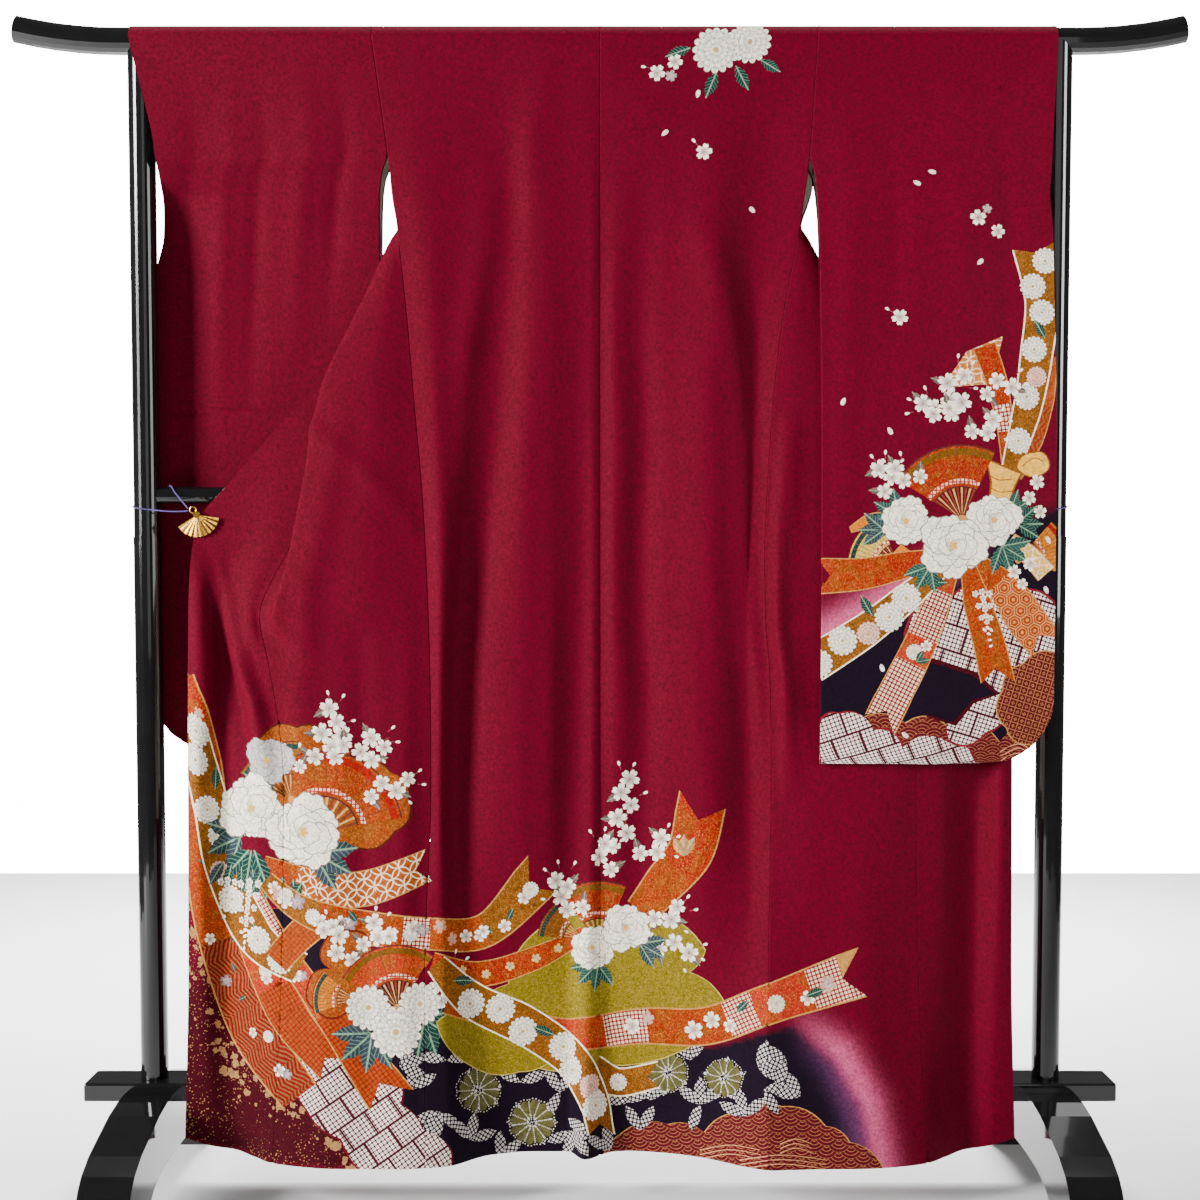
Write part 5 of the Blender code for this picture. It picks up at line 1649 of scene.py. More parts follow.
def shoulder_design():
    d = Design()
    for x, y, size, turn in ((690, 48, 13, 200), (735, 66, 14, 300), (716, 72, 14, 250), (760, 60, 12, 330)):
        d.leaf(x, y, size, turn, TEAL)
    d.mum(750, 40, 21, 0.2)
    d.mum(716, 50, 23)
    for x, y, size in ((657, 73, 8.5), (675, 62, 8.0), (671, 76, 6.0), (704, 152, 8.5)):
        d.blossom(x, y, size, 0.1 * y, IVORY if size > 7 else DUSKY)
    d.bud(650, 68, 170)
    d.bud(698, 146, 130)
    d.petals((665, 133), (698, 94), (752, 210))
    return d


def band_of_mums(d, line, widths, flowers, tails=(False, False), size=9.0, dye=GOLD_TAN):
    """A gold brocade ribbon with a cream edge and white flowers scattered along it."""
    fine = d.ribbon(line, widths, [(1.0, "brocade", dye)], edge=rgb(244, 232, 200), edge_width=1.6, tails=tails)
    for k, (share, off, kind) in enumerate(flowers):
        at = fine[int(share * (len(fine) - 1))]
        way = fine[min(int(share * (len(fine) - 1)) + 1, len(fine) - 1)] - fine[int(share * (len(fine) - 1))]
        way = way / max(np.linalg.norm(way), 1e-6)
        x, y = at[0] - way[1] * off, at[1] + way[0] * off
        if kind == "leaf":
            d.leaf(x, y, size * 0.8, 40 * k, TEAL)
        elif kind == "red":
            d.mum(x, y, size * 0.8, 0.3 * k, rgb(226, 120, 84))
        else:
            d.mum(x, y, size, 0.3 * k)
    return fine


def sleeve_design():
    d = Design()
    d.petals((917, 183), (932, 172), (843, 402), (980, 262), (890, 431))
    d.blossom(978, 218, 8.5, 0.4)
    d.blossom(998, 231, 7.5, 1.2)
    d.blossom(987, 209, 5, 0.2, DUSKY)
    d.blossom(900, 317, 8.5, 0.9)
    d.bud(893, 312, 150)
    # clouds of dotted blocks, wave scales and lattice along the bottom
    d.lobed([(818, 775), (819, 752), (850, 727), (905, 722), (950, 728), (1000, 742), (1060, 730), (1062, 775)],
            "waves", WINE, edge=GOLD_LINE)
    d.lobed([(818, 722), (838, 712), (872, 728), (905, 748), (950, 742), (976, 762), (930, 775), (818, 775)],
            "tiles", MAROON, turn=0.35, edge=WINE_EDGE, edge_width=2.4)
    d.lobed([(905, 628), (950, 596), (1010, 592), (1062, 612), (1062, 655), (1020, 662), (1010, 690), (985, 735),
             (948, 742), (962, 705), (940, 660), (914, 652)], "tiles", MAROON, turn=-0.3,
            edge=WINE_EDGE, edge_width=2.4)
    d.area([(930, 658), (950, 664), (976, 672), (1000, 694), (974, 704), (956, 726), (926, 716)], "crepe", MAROON)
    d.area([(926, 662), (949, 668), (973, 676), (995, 694), (972, 700), (953, 722), (922, 712)], "crepe",
           PURPLE_BLACK)
    d.lobed([(1002, 690), (1022, 664), (1062, 655), (1062, 742), (1030, 745), (1006, 728)], "lattice",
            WINE, turn=0.5, edge=GOLD_LINE)
    d.stream([(1000, 752), (1018, 744), (1036, 750), (1058, 744)], 3)
    # loose ends and streamers above
    d.area([(942, 388), (966, 352), (1003, 336), (992, 384)], "shippo", rgb(196, 122, 60), turn=0.9)
    d.ribbon([(984, 346), (996, 380), (1004, 420), (1008, 462)], [22, 20, 15, 12],
             [(0.55, "brocade", VERMILION), (0.75, "kanoko", rgb(140, 24, 16)), (1.0, "brocade", VERMILION)])
    d.ribbon([(1050, 356), (1043, 400), (1032, 440), (1014, 476)], [14, 20, 20, 14],
             [(0.4, "brocade", CORAL), (1.0, "reed", ORANGE)])
    band_of_mums(d, [(1034, 246), (1042, 300), (1037, 350), (1028, 405), (1010, 470)], [40, 32, 30, 26, 16],
                 [(0.10, -8, ""), (0.20, 8, ""), (0.32, 0, ""), (0.46, -6, "leaf"), (0.5, 3, ""), (0.63, -3, "red"),
                  (0.74, 3, ""), (0.88, 0, "")], tails=(True, False), size=13)
    yellow, fold = rgb(232, 180, 70), rgb(140, 84, 30)
    d.lobed([(1016, 468), (1034, 452), (1048, 458), (1044, 474)], "crepe", yellow, edge=fold)
    d.area([(986, 458), (1000, 464), (1022, 472), (1014, 490), (1010, 512), (988, 506), (990, 482)], "crepe", fold)
    d.area([(987, 460), (1000, 466), (1020, 474), (1012, 490), (1008, 510), (990, 504), (992, 482)], "crepe", yellow)
    for x, y in ((990, 476), (991, 488), (992, 498)):
        d.stroke([(x, y), (x + 9, y + 4), (x + 22, y + 3)], 1.0, fold)
    d.stroke([(1022, 466), (1034, 458), (1044, 462)], 1.0, fold)
    d.ribbon([(906, 528), (884, 520), (868, 522), (850, 530)], [8, 13, 13, 4],
             [(0.4, "crepe", MUSTARD), (0.7, "crepe", TEAL), (1.0, "crepe", MUSTARD)])
    d.ribbon([(906, 548), (896, 562), (888, 580)], [10, 14, 12], [(0.5, "crepe", MUSTARD), (1.0, "crepe", TEAL)])
    # three open fans
    d.fan(962, 520, 74, 106, 84, VERMILION, GOLD_TAN)
    d.fan(900, 566, 52, 150, 70, PALE_YELLOW, TEAL, "gilt")
    d.fan(1018, 560, 50, 16, 66, MUSTARD, VERMILION)
    d.spray(936, 416, 62, [(6, -6), (20, 5), (34, -5), (48, 6), (10, 12), (24, 16)], 10)
    d.spray(952, 412, 172, [(4, 3), (18, -5), (30, 4)], 9)
    d.spray(984, 392, 20, [(2, 3), (16, -6), (28, 5)], 9)
    d.spray(972, 436, 30, [(2, -4), (15, 5), (26, -4)], 9)
    d.spray(890, 492, 106, [(2, -5), (14, 6), (25, -4)], 9)
    d.spray(920, 482, 158, [(2, 5), (16, -5), (28, 3)], 8.5)
    # streamers fanning out below the flowers
    d.ribbon([(940, 556), (900, 566), (862, 574), (824, 576)], [14, 26, 30, 34],
             [(0.6, "brocade", VERMILION), (1.0, "brocade", rgb(160, 44, 8))], tails=(False, True))
    d.ribbon([(975, 560), (1006, 590), (1026, 620), (1042, 640)], [14, 30, 38, 36],
             [(0.35, "brocade", ORANGE), (1.0, "kikko", rgb(160, 62, 14))], tails=(False, True))
    d.ribbon([(1010, 540), (1030, 556), (1046, 574)], [14, 18, 20], [(1.0, "shippo", PALE_YELLOW)])
    d.ribbon([(968, 566), (978, 606), (988, 640), (996, 674)], [14, 26, 30, 32],
             [(1.0, "brocade", ORANGE)], tails=(False, True))
    d.wisteria(982, 592, 60, 0.16, 3.6)
    d.ribbon([(952, 566), (934, 610), (914, 656), (884, 716)], [14, 28, 32, 34],
             [(0.18, "brocade", CORAL), (0.48, "kanoko", KANOKO_CRIMSON), (0.68, "brocade", CORAL),
              (1.0, "kanoko", KANOKO_CRIMSON)], tails=(False, True))
    d.mum(914, 652, 8, 0.2, CREAM)
    d.blossom(926, 646, 6, 0.4)
    d.leaves(916, 662, 7, (10, 60), TEAL)
    band_of_mums(d, [(950, 560), (906, 598), (866, 630), (812, 664)], [14, 26, 32, 36],
                 [(0.22, 0, "leaf"), (0.34, 0, ""), (0.52, -4, ""), (0.62, 8, "leaf"), (0.70, -4, "red"),
                  (0.82, 4, ""), (0.97, -3, "")], size=14.5)
    d.leaves(898, 516, 14, (150, 190, 230, 100))
    d.leaves(930, 566, 14, (200, 240, 280))
    d.leaves(1002, 546, 15, (330, 10, 290, 250))
    d.leaves(1010, 512, 12, (30, 70))
    d.leaves(884, 530, 13, (180, 215, 140), SLATE)
    d.leaves(1016, 524, 14, (0, 40, 330), TEAL)
    d.peony(906, 521, 24, 0.3)
    d.peony(994, 520, 26, 1.3)
    d.peony(953, 546, 32, 0.8)
    for x, y, size in ((1037, 482, 8), (1029, 498, 7.5), (1040, 512, 7), (1030, 564, 7.5), (1014, 572, 7.5),
                       (1022, 584, 6)):
        d.blossom(x, y, size, 0.3 * x)
    d.petals((882, 668), (1048, 540), (1046, 590), (905, 735))
    return d


def left_hem(d):
    """Streamers, fans and peonies over the left front."""
    d.area([(172, 884), (214, 868), (262, 905), (285, 1000), (310, 1080), (384, 1190), (170, 1190)], "flecked", None)
    d.lobed([(256, 912), (300, 908), (352, 930), (372, 1000), (350, 1040), (310, 1048), (268, 1000)], "crepe",
            PURPLE_BLACK, edge=rgb(140, 36, 44), edge_width=1.2, bulge=0.06)
    d.gold_leaf([(184, 880), (198, 950), (226, 1036), (262, 1092), (318, 1122), (366, 1168)], 10, 460, 5)
    d.lobed([(286, 1050), (322, 1036), (344, 1052), (366, 1050), (400, 1072), (402, 1104), (424, 1130), (452, 1150),
             (444, 1190), (384, 1190), (340, 1140), (306, 1110)], "tiles", MAROON, turn=0.6,
            edge=rgb(104, 14, 26), edge_width=2.0, bulge=0.10)
    # streamers falling from the upper left
    fine = d.ribbon([(184, 676), (200, 760), (208, 850), (222, 940), (254, 1030), (300, 1096)],
                    [18, 40, 46, 44, 44, 40],
                    [(0.22, "brocade", VERMILION), (0.62, "brocade", ORANGE), (1.0, "reed", rgb(128, 18, 4))],
                    edge_width=1.6)
    d.strew(fine, 14, 20, 3, 6.0)
    fine = d.ribbon([(236, 880), (258, 950), (292, 1020), (330, 1062)], [20, 32, 38, 34],
                    [(0.55, "brocade", CORAL), (1.0, "net", rgb(134, 28, 3))], tails=(False, True))
    d.strew(fine[:14], 10, 8, 8, 7.0)
    fine = d.ribbon([(252, 890), (284, 950), (322, 1004), (384, 1090)], [14, 20, 28, 46],
                    [(0.30, "kanoko", rgb(150, 24, 20)), (0.62, "brocade", CORAL), (1.0, "net", rgb(138, 26, 2))],
                    tails=(False, True), edge_width=1.4)
    d.strew(fine[8:16], 7, 5, 9, 7.0)
    band_of_mums(d, [(190, 726), (210, 800), (224, 870), (258, 940), (300, 968)], [26, 32, 34, 36, 30],
                 [(0.05, -4, ""), (0.15, 4, ""), (0.24, -6, "leaf"), (0.30, 5, ""), (0.40, -4, ""), (0.50, 5, "red"),
                  (0.60, 3, ""), (0.70, -6, "leaf"), (0.78, 0, ""), (0.90, 2, "")], size=14)
    d.ribbon([(276, 962), (312, 926), (352, 916)], [26, 30, 22],
             [(0.6, "net", rgb(142, 48, 8)), (1.0, "brocade", GOLD_TAN)], edge_width=1.4)
    d.ribbon([(262, 866), (320, 888), (368, 888), (421, 868)], [20, 34, 34, 30],
             [(0.25, "brocade", ORANGE), (1.0, "shippo", rgb(150, 70, 24))], tails=(False, True))
    # gold clouds and two open fans behind the peonies
    d.lobed([(250, 756), (262, 736), (296, 726), (330, 738), (352, 764), (392, 772), (410, 800), (396, 832),
             (350, 846), (290, 840), (256, 800)], "brocade", rgb(146, 66, 12), edge=rgb(84, 26, 16), edge_width=2.0)
    d.fan(322, 832, 80, 62, 104, ORANGE, VERMILION)
    d.fan(292, 800, 58, 118, 70, GOLD_TAN, TEAL)
    d.spray(322, 762, 78, [(4, -8), (16, 7), (28, -6), (42, 6), (54, -4), (30, 14), (8, 12)], 10)
    d.spray(338, 754, 18, [(8, -7), (22, 5), (36, -5), (46, 8), (30, 16)], 9.5)
    d.spray(366, 794, 16, [(4, 4), (18, -6), (30, 5), (44, -3)], 9)
    d.spray(300, 772, 130, [(4, 4), (16, -5)], 8)
    d.leaves(246, 836, 22, (120, 160, 200, 240), SLATE)
    d.leaves(256, 850, 22, (215, 250, 285), TEAL)
    d.leaves(314, 852, 22, (300, 330, 5), SLATE)
    d.leaves(268, 796, 18, (95, 140), SLATE)
    for k in range(9):
        d.leaf(224 + 10 * k, 862 + 2.5 * k, 14, 235 + 13 * (k % 4), TEAL if k % 3 else SLATE)
    d.peony(268, 760, 25, 0.5, rgb(190, 184, 180))
    d.peony(252, 808, 33, 0.2)
    d.peony(304, 832, 36, 1.0)
    d.wisteria(250, 882, 76, -0.08, 4.6)
    d.wisteria(228, 880, 44, -0.10, 3.8)
    fine = d.ribbon([(266, 880), (300, 908), (356, 926), (430, 934), (486, 930), (534, 882)],
                    [16, 28, 32, 30, 32, 42],
                    [(0.22, "brocade", GOLD_TAN), (0.50, "brocade", ORANGE), (0.60, "kanoko", rgb(140, 30, 20)),
                     (0.80, "brocade", rgb(158, 60, 12)), (1.0, "brocade", GOLD_TAN)],
                    tails=(False, True), edge_width=1.4)
    d.strew(fine[2:], 9, 26, 12, 8.0)
    d.lobed([(322, 946), (352, 930), (372, 948), (368, 986), (346, 1014), (318, 1012), (308, 984), (330, 968)],
            "brocade", rgb(150, 66, 14), edge=rgb(100, 30, 16), edge_width=2.0)
    d.spray(350, 966, 120, [(4, 5), (18, -5), (32, 6), (44, -4)], 9.5)
    d.spray(366, 950, 66, [(4, -5), (16, 6), (28, -4), (22, 16)], 9)
    # folding fans with chrysanthemums below
    d.fan(398, 1008, 62, 104, 96, rgb(176, 44, 12), GOLD_TAN)
    d.fan(356, 1000, 42, 168, 60, MUSTARD, TEAL)
    d.leaves(372, 1034, 20, (180, 220, 260, 300), SLATE)
    d.leaves(424, 1020, 19, (330, 20, 290, 260), TEAL)
    d.spray(436, 1000, 60, [(2, 5), (14, -6), (26, 4), (38, -4)], 8.5)


def centre_hem(d):
    """Hill, streamers and flowers over the centre seam."""
    d.lobed([(470, 1012), (508, 984), (530, 936), (580, 914), (662, 914), (706, 950), (690, 972), (724, 1000),
             (722, 1026), (600, 1066), (520, 1062)], "gilt", OLIVE_GOLD, edge=HILL_EDGE, bulge=0.10)
    d.lobed([(436, 1022), (470, 1010), (520, 1030), (556, 1056), (520, 1072), (470, 1066)], "gilt", OLIVE_GOLD,
            edge=HILL_EDGE, bulge=0.12)
    d.ribbon([(640, 912), (664, 884), (690, 852), (700, 812)], [30, 40, 44, 46],
             [(0.5, "brocade", ORANGE), (1.0, "brocade", VERMILION)], tails=(False, True), edge_width=1.6)
    d.leaves(684, 856, 11, (60, 90, 120), rgb(224, 160, 84))
    d.ribbon([(432, 962), (478, 974), (530, 960), (584, 934)], [18, 24, 22, 14],
             [(0.5, "brocade", VERMILION), (1.0, "brocade", rgb(166, 40, 8))])
    for x, y in ((462, 970), (486, 974), (510, 966), (536, 958), (558, 948)):
        d.blossom(x, y, 5, 0.3 * x, PALE_YELLOW)
    # long streamer running to the right
    d.ribbon([(446, 1004), (510, 1020), (570, 1034), (640, 1026), (706, 1026), (764, 1006), (850, 976)],
             [18, 24, 30, 34, 36, 38, 46],
             [(0.12, "brocade", ORANGE), (0.24, "kanoko", KANOKO_RED), (0.40, "brocade", CORAL),
              (0.50, "kanoko", KANOKO_RED), (0.70, "brocade", ORANGE), (0.78, "kanoko", KANOKO_RED),
              (0.90, "brocade", CORAL), (1.0, "kanoko", KANOKO_RED)], tails=(False, True), edge_width=1.6)
    for x, y, size in ((632, 1026, 9), (648, 1018, 7), (694, 1030, 10), (712, 1020, 9), (730, 1026, 7),
                       (478, 1014, 7), (496, 1020, 8), (808, 998, 8), (828, 984, 9)):
        d.blossom(x, y, size, 0.2 * x, IVORY if x % 3 else rgb(206, 160, 140))
    d.mum(776, 1004, 9, 0.3, CREAM)
    d.leaf(736, 1012, 9, 40, TEAL)
    d.leaf(806, 996, 10, 20, TEAL)
    band_of_mums(d, [(592, 1070), (618, 1082), (652, 1076)], [30, 26, 24], [(0.5, 0, "")], size=9,
                 tails=(False, True))
    band_of_mums(d, [(436, 964), (472, 1000), (526, 1026), (570, 1058), (592, 1096), (600, 1128)],
                 [20, 34, 38, 36, 30, 24],
                 [(0.10, 0, "leaf"), (0.20, 4, ""), (0.31, -5, ""), (0.42, 6, ""), (0.50, -8, "leaf"), (0.56, -4, ""),
                  (0.66, 5, ""), (0.76, -2, "red"), (0.86, 0, "")], size=15, tails=(False, True))
    # a half-open fan leaning on the flowers, and twigs rising behind it
    d.fan(600, 948, 66, 96, 58, VERMILION, GOLD_TAN)
    d.fan(584, 940, 46, 152, 46, GOLD_TAN, TEAL)
    for x, y, turn, flowers in (
            (618, 850, 84, [(4, -6), (18, 7), (32, -4), (46, 8), (58, -3), (72, 4)]),
            (606, 872, 100, [(2, 5), (16, -4), (28, 4)]),
            (640, 860, 40, [(4, -5), (18, 5), (30, -3)]),
            (640, 934, 30, [(4, 4), (20, -6), (34, 3), (46, -5)]),
            (656, 944, 350, [(4, 4), (18, -5), (34, 3)]),
            (582, 912, 150, [(2, 4), (14, -5), (26, 3)]),
            (566, 890, 120, [(2, 3), (14, -4)])):
        d.spray(x, y, turn, flowers, 9.5)
    d.leaves(596, 964, 14, (190, 230, 270, 310))
    d.leaves(640, 944, 14, (330, 10, 300), SLATE)
    d.peony(592, 948, 22, 0.4)
    d.peony(626, 928, 24, 1.1)


def dark_hem(d):
    """Tie-dyed chrysanthemums and leaves on the dark ground along the bottom."""
    d.lobed([(600, 1172), (622, 1132), (668, 1124), (704, 1132), (742, 1112), (782, 1106), (826, 1126), (850, 1142),
             (884, 1170), (860, 1192), (610, 1192)], "waves", WINE, edge=GOLD_LINE, bulge=0.14)
    for y, x0, x1 in ((1150, 700, 760), (1160, 740, 826), (1144, 780, 812)):
        d.stream([(x0, y), ((x0 + x1) / 2, y - 5), (x1, y)], 3)
    d.dotted_leaves(480, 1090, 12, (10, 60, 120, 200, 260, 320))
    d.dotted_leaves(532, 1122, 13, (0, 45, 130, 180, 235, 300))
    d.dotted_leaves(668, 1073, 12, (80, 140, 200, 260, 330))
    d.dotted_leaves(724, 1080, 12, (20, 80, 160, 240, 300))
    for x, y, turns in ((412, 1088, (30, 90, 150)), (440, 1112, (200, 260, 320)), (446, 1060, (10, 170)),
                        (506, 1066, (40, 100)), (560, 1092, (60, 120, 240)), (574, 1132, (200, 250, 300)),
                        (628, 1102, (30, 100, 170)), (640, 1130, (60, 120)), (700, 1104, (40, 90, 140, 250)),
                        (758, 1066, (20, 70, 330)), (764, 1090, (300, 10)), (610, 1150, (100, 150)),
                        (470, 1140, (80, 130, 20)), (500, 1158, (90, 40)), (400, 1066, (60, 20, 340)),
                        (424, 1140, (70, 120)), (520, 1082, (20, 150)), (590, 1136, (140, 180)),
                        (650, 1100, (50, 110)), (690, 1060, (60, 120)), (744, 1116, (100, 150, 40)),
                        (786, 1060, (200, 250, 150)), (800, 1096, (120, 170)), (350, 1000, (60, 100, 300)),
                        (330, 960, (250, 290))):
        d.dotted_leaves(x, y, 14, turns)
    d.crest(478, 1090, 21, 0.2)
    d.crest(532, 1122, 22, 0.1)
    d.crest(668, 1072, 19, 0.3)
    d.crest(724, 1078, 18, 0.0)


def hem_design():
    d = Design()
    dark_hem(d)
    left_hem(d)
    centre_hem(d)
    d.mum(368, 1008, 22, 0.1)
    d.mum(420, 1004, 21, 0.3)
    d.mum(396, 1032, 25, 0.2)
    return d

# ---------------------------------------------------------------- collar


# columns of the front's table at the edge of the body and of the overlap, and how finely the band is divided
BODY_EDGE, OVERLAP_EDGE = 4.0, 8.0
COLLAR_GAP = 0.0003
COLLAR_STEPS, COLLAR_COLUMNS = 9, 33


def collar_rows():
    """Rows of the band from the far left end round the neck to the far right end, seam to fold."""
    half = []
    for row in NECK_ROWS:
        line = []
        for entry in row:
            if len(entry) == 2:
                turn = math.radians(entry[1])
                line.append((entry[0] * MM, -COLLAR_RADIUS * math.cos(turn),
                             BAR_HEIGHT + COLLAR_RADIUS * math.sin(turn)))
            else:
                line.append(tuple(v * MM for v in entry))
        half.append(line)
    for place in COLLAR_PLACES:
        row = front_rows("right", [place], [BODY_EDGE if place < OVERLAP_FIRST_STATION else OVERLAP_EDGE])[0, 0]
        seam = row + COLLAR_ACROSS * COLLAR_GAP + (0, COLLAR_BEHIND, 0)
        half.append([tuple(seam + COLLAR_ACROSS * COLLAR_WIDTH * k / 4) for k in range(5)])
    half = np.array(half)
    other = half[:0:-1] * (-1, 1, 1)
    whole = np.concatenate([other, half])
    rows = along(whole, np.linspace(0, len(whole) - 1, (len(whole) - 1) * COLLAR_STEPS + 1))
    return across(rows, np.linspace(0, 4, COLLAR_COLUMNS))


def folded_band(rows, gap):
    """The two layers of a band folded along its far edge, as one row from seam to fold and back."""
    way = np.gradient(rows, axis=1)
    run = np.gradient(rows, axis=0)
    normal = np.cross(way, run)
    normal /= np.maximum(np.linalg.norm(normal, axis=2), 1e-12)[..., None]
    last = way[:, -1] / np.linalg.norm(way[:, -1], axis=1)[:, None]
    near, far = rows + normal * gap / 2, rows - normal * gap / 2
    bend = []
    for angle in (36, 72, 108, 144):
        turn = math.radians(angle)
        bend.append(rows[:, -1] + (normal[:, -1] * math.cos(turn) + last * math.sin(turn)) * gap / 2)
    return np.concatenate([near, np.stack(bend, axis=1), far[:, ::-1]], axis=1)


# ---------------------------------------------------------------- cords

CORD_RADIUS = 0.001
POLE_X = 0.660
POLE_UPPER_RADIUS = 0.019
RAIL_RADIUS = 0.0125
RAIL_HEIGHT = 1.024
CORD_CLEARANCE = 0.0007
CORD_START = [(-592.0, -36.2, 1000.0), (-606, -34.0, 999.2), (-622, -31.0, 999.6), (-638, -27.0, 1001)]
CORD_END = [(-606, -26.0, 1018), (-592.2, -35.6, 1003.6)]
POLE_TURN = {"first": 292, "last": 55, "steps": 14, "low": 1.0025, "high": 1.014}
RAIL_TURN = {"first": -5, "last": 160, "steps": 8, "start_x": -0.641, "end_x": -0.617}
CORD_SAMPLES = 44


def cord_route(hand):
    """From the clip's ring in front of the pole, round it, over the rail and back to the ring."""
    knots = [tuple(v * MM for v in p) for p in CORD_START]
    radius = POLE_UPPER_RADIUS + CORD_RADIUS + CORD_CLEARANCE
    for k in range(POLE_TURN["steps"] + 1):
        share = k / POLE_TURN["steps"]
        angle = math.radians(POLE_TURN["first"] + (POLE_TURN["last"] - POLE_TURN["first"]) * share)
        height = POLE_TURN["low"] + (POLE_TURN["high"] - POLE_TURN["low"]) * share
        knots.append((-POLE_X + radius * math.cos(angle), radius * math.sin(angle), height))
    radius = RAIL_RADIUS + CORD_RADIUS + CORD_CLEARANCE
    for k in range(RAIL_TURN["steps"] + 1):
        share = k / RAIL_TURN["steps"]
        angle = math.radians(RAIL_TURN["first"] + (RAIL_TURN["last"] - RAIL_TURN["first"]) * share)
        x = RAIL_TURN["start_x"] + (RAIL_TURN["end_x"] - RAIL_TURN["start_x"]) * share
        knots.append((x, radius * math.cos(angle), RAIL_HEIGHT + radius * math.sin(angle)))
    knots += [tuple(v * MM for v in p) for p in CORD_END]
    points = along(knots, np.linspace(0, len(knots) - 1, CORD_SAMPLES + 1))
    return points * (1 if hand == "left" else -1, 1, 1)


def tie_cords(finish):
    for hand in HANDS:
        points = cord_route(hand)
        data = bpy.data.curves.new("tie_cord_" + hand + "_silk", "CURVE")
        data.dimensions = "3D"
        data.bevel_depth, data.bevel_resolution, data.use_fill_caps = CORD_RADIUS, 3, True
        spline = data.splines.new("POLY")
        spline.points.add(len(points) - 1)
        for spot, point in zip(spline.points, points):
            spot.co = (*point, 1.0)
        data.materials.append(finish)
        made = link("tie_cord_" + hand + "_silk", data)
        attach(made, "root")
        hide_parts("tie_cord_" + hand)
        tuple(points[0])


# ---------------------------------------------------------------- the whole

# cut back at the ends and the first and last side, which sides turn in, and which ends have the hem's lining
PLAIN = {"ends": 0.0, "first": 0.0, "last": 0.0, "turn_first": False, "turn_last": False, "hems": (False, False)}
EDGES = {
    "body": {**PLAIN, "first": 0.0004, "last": 0.0003, "turn_first": True, "turn_last": True, "hems": (True, True)},
    "overlap": {**PLAIN, "first": 0.0003, "turn_first": True, "hems": (False, True)},
    "sleeve": {**PLAIN, "ends": 0.0004, "first": 0.0005, "turn_first": True},
    "collar": PLAIN,
}

CRIMSON = (0.096, 0.0, 0.0094)

# outlines of the dark and the wine-red grounds, in view units
HEM_DARK = [(255, 925), (300, 930), (350, 950), (420, 1010), (480, 1040), (560, 1060), (600, 1066), (650, 1050),
            (720, 1045), (795, 1024), (838, 1056), (866, 1104), (886, 1200), (452, 1200), (424, 1150), (386, 1090),
            (330, 1046), (280, 1000)]
HEM_MAROON = [(150, 1000), (215, 975), (262, 985), (300, 1050), (400, 1100), (450, 1170), (440, 1230), (150, 1230)]
SLEEVE_DARK = [(780, 684), (806, 640), (862, 606), (925, 575), (985, 545), (1010, 520), (1090, 495), (1090, 800),
               (780, 800)]


def edge_distance(spots, polygon):
    """Distance from an outline, negative inside it."""
    polygon = np.array(polygon, float)
    best = np.full(len(spots), 1e9)
    inside = np.zeros(len(spots), bool)
    for a, b in zip(polygon, np.roll(polygon, -1, axis=0)):
        way = b - a
        f = np.clip(((spots - a) @ way) / (way @ way), 0, 1)
        best = np.minimum(best, np.linalg.norm(spots - a - f[:, None] * way, axis=1))
        with np.errstate(divide="ignore", invalid="ignore"):
            at = a[0] + (spots[:, 1] - a[1]) / (way[1] if way[1] else 1e-9) * way[0]
        inside ^= ((a[1] > spots[:, 1]) != (b[1] > spots[:, 1])) & (spots[:, 0] < at)
    return np.where(inside, -best, best)


def blend(colours, share, other):
    return colours * (1 - share[:, None]) + np.array(other) * share[:, None]


def hem_ground(spots, colours):
    gap = edge_distance(spots, HEM_MAROON)
    colours = blend(colours, 1 - smooth(gap, -30, 60), MAROON)
    gap = edge_distance(spots, HEM_DARK)
    right = smooth(spots[:, 0], 780, 850)
    soft = 3 + 30 * right
    colours = blend(colours, 1 - smooth(gap / soft, -1.0, 0.5), PURPLE_BLACK)
    colours = blend(colours, 0.45 * right * np.exp(-((gap + 14) / 14.0) ** 2), rgb(112, 64, 112))
    return blend(colours, 0.55 * right * np.exp(-((gap - 3) / np.where(gap > 3, 16.0, 9.0)) ** 2), PINK)


def sleeve_ground(spots, colours):
    gap = edge_distance(spots, SLEEVE_DARK)
    left = 1 - smooth(spots[:, 0], 900, 1000)
    colours = blend(colours, 1 - smooth(gap, -10, 5), PURPLE_BLACK)
    return blend(colours, 0.62 * left * np.exp(-(np.where(gap > -6, gap + 6, (gap + 6) * 1.4) / 17.0) ** 2), PINK)


def plain_ground(spots, colours):
    return colours


class Side:
    """One side of a piece that is dyed as a whole: where it lies on the cloth, its drawing and its ground."""

    def __init__(self, low, high, designs, ground, creases, mirrored=False):
        self.low, self.high, self.designs, self.ground = low, high, designs, ground
        self.creases, self.mirrored = creases, mirrored


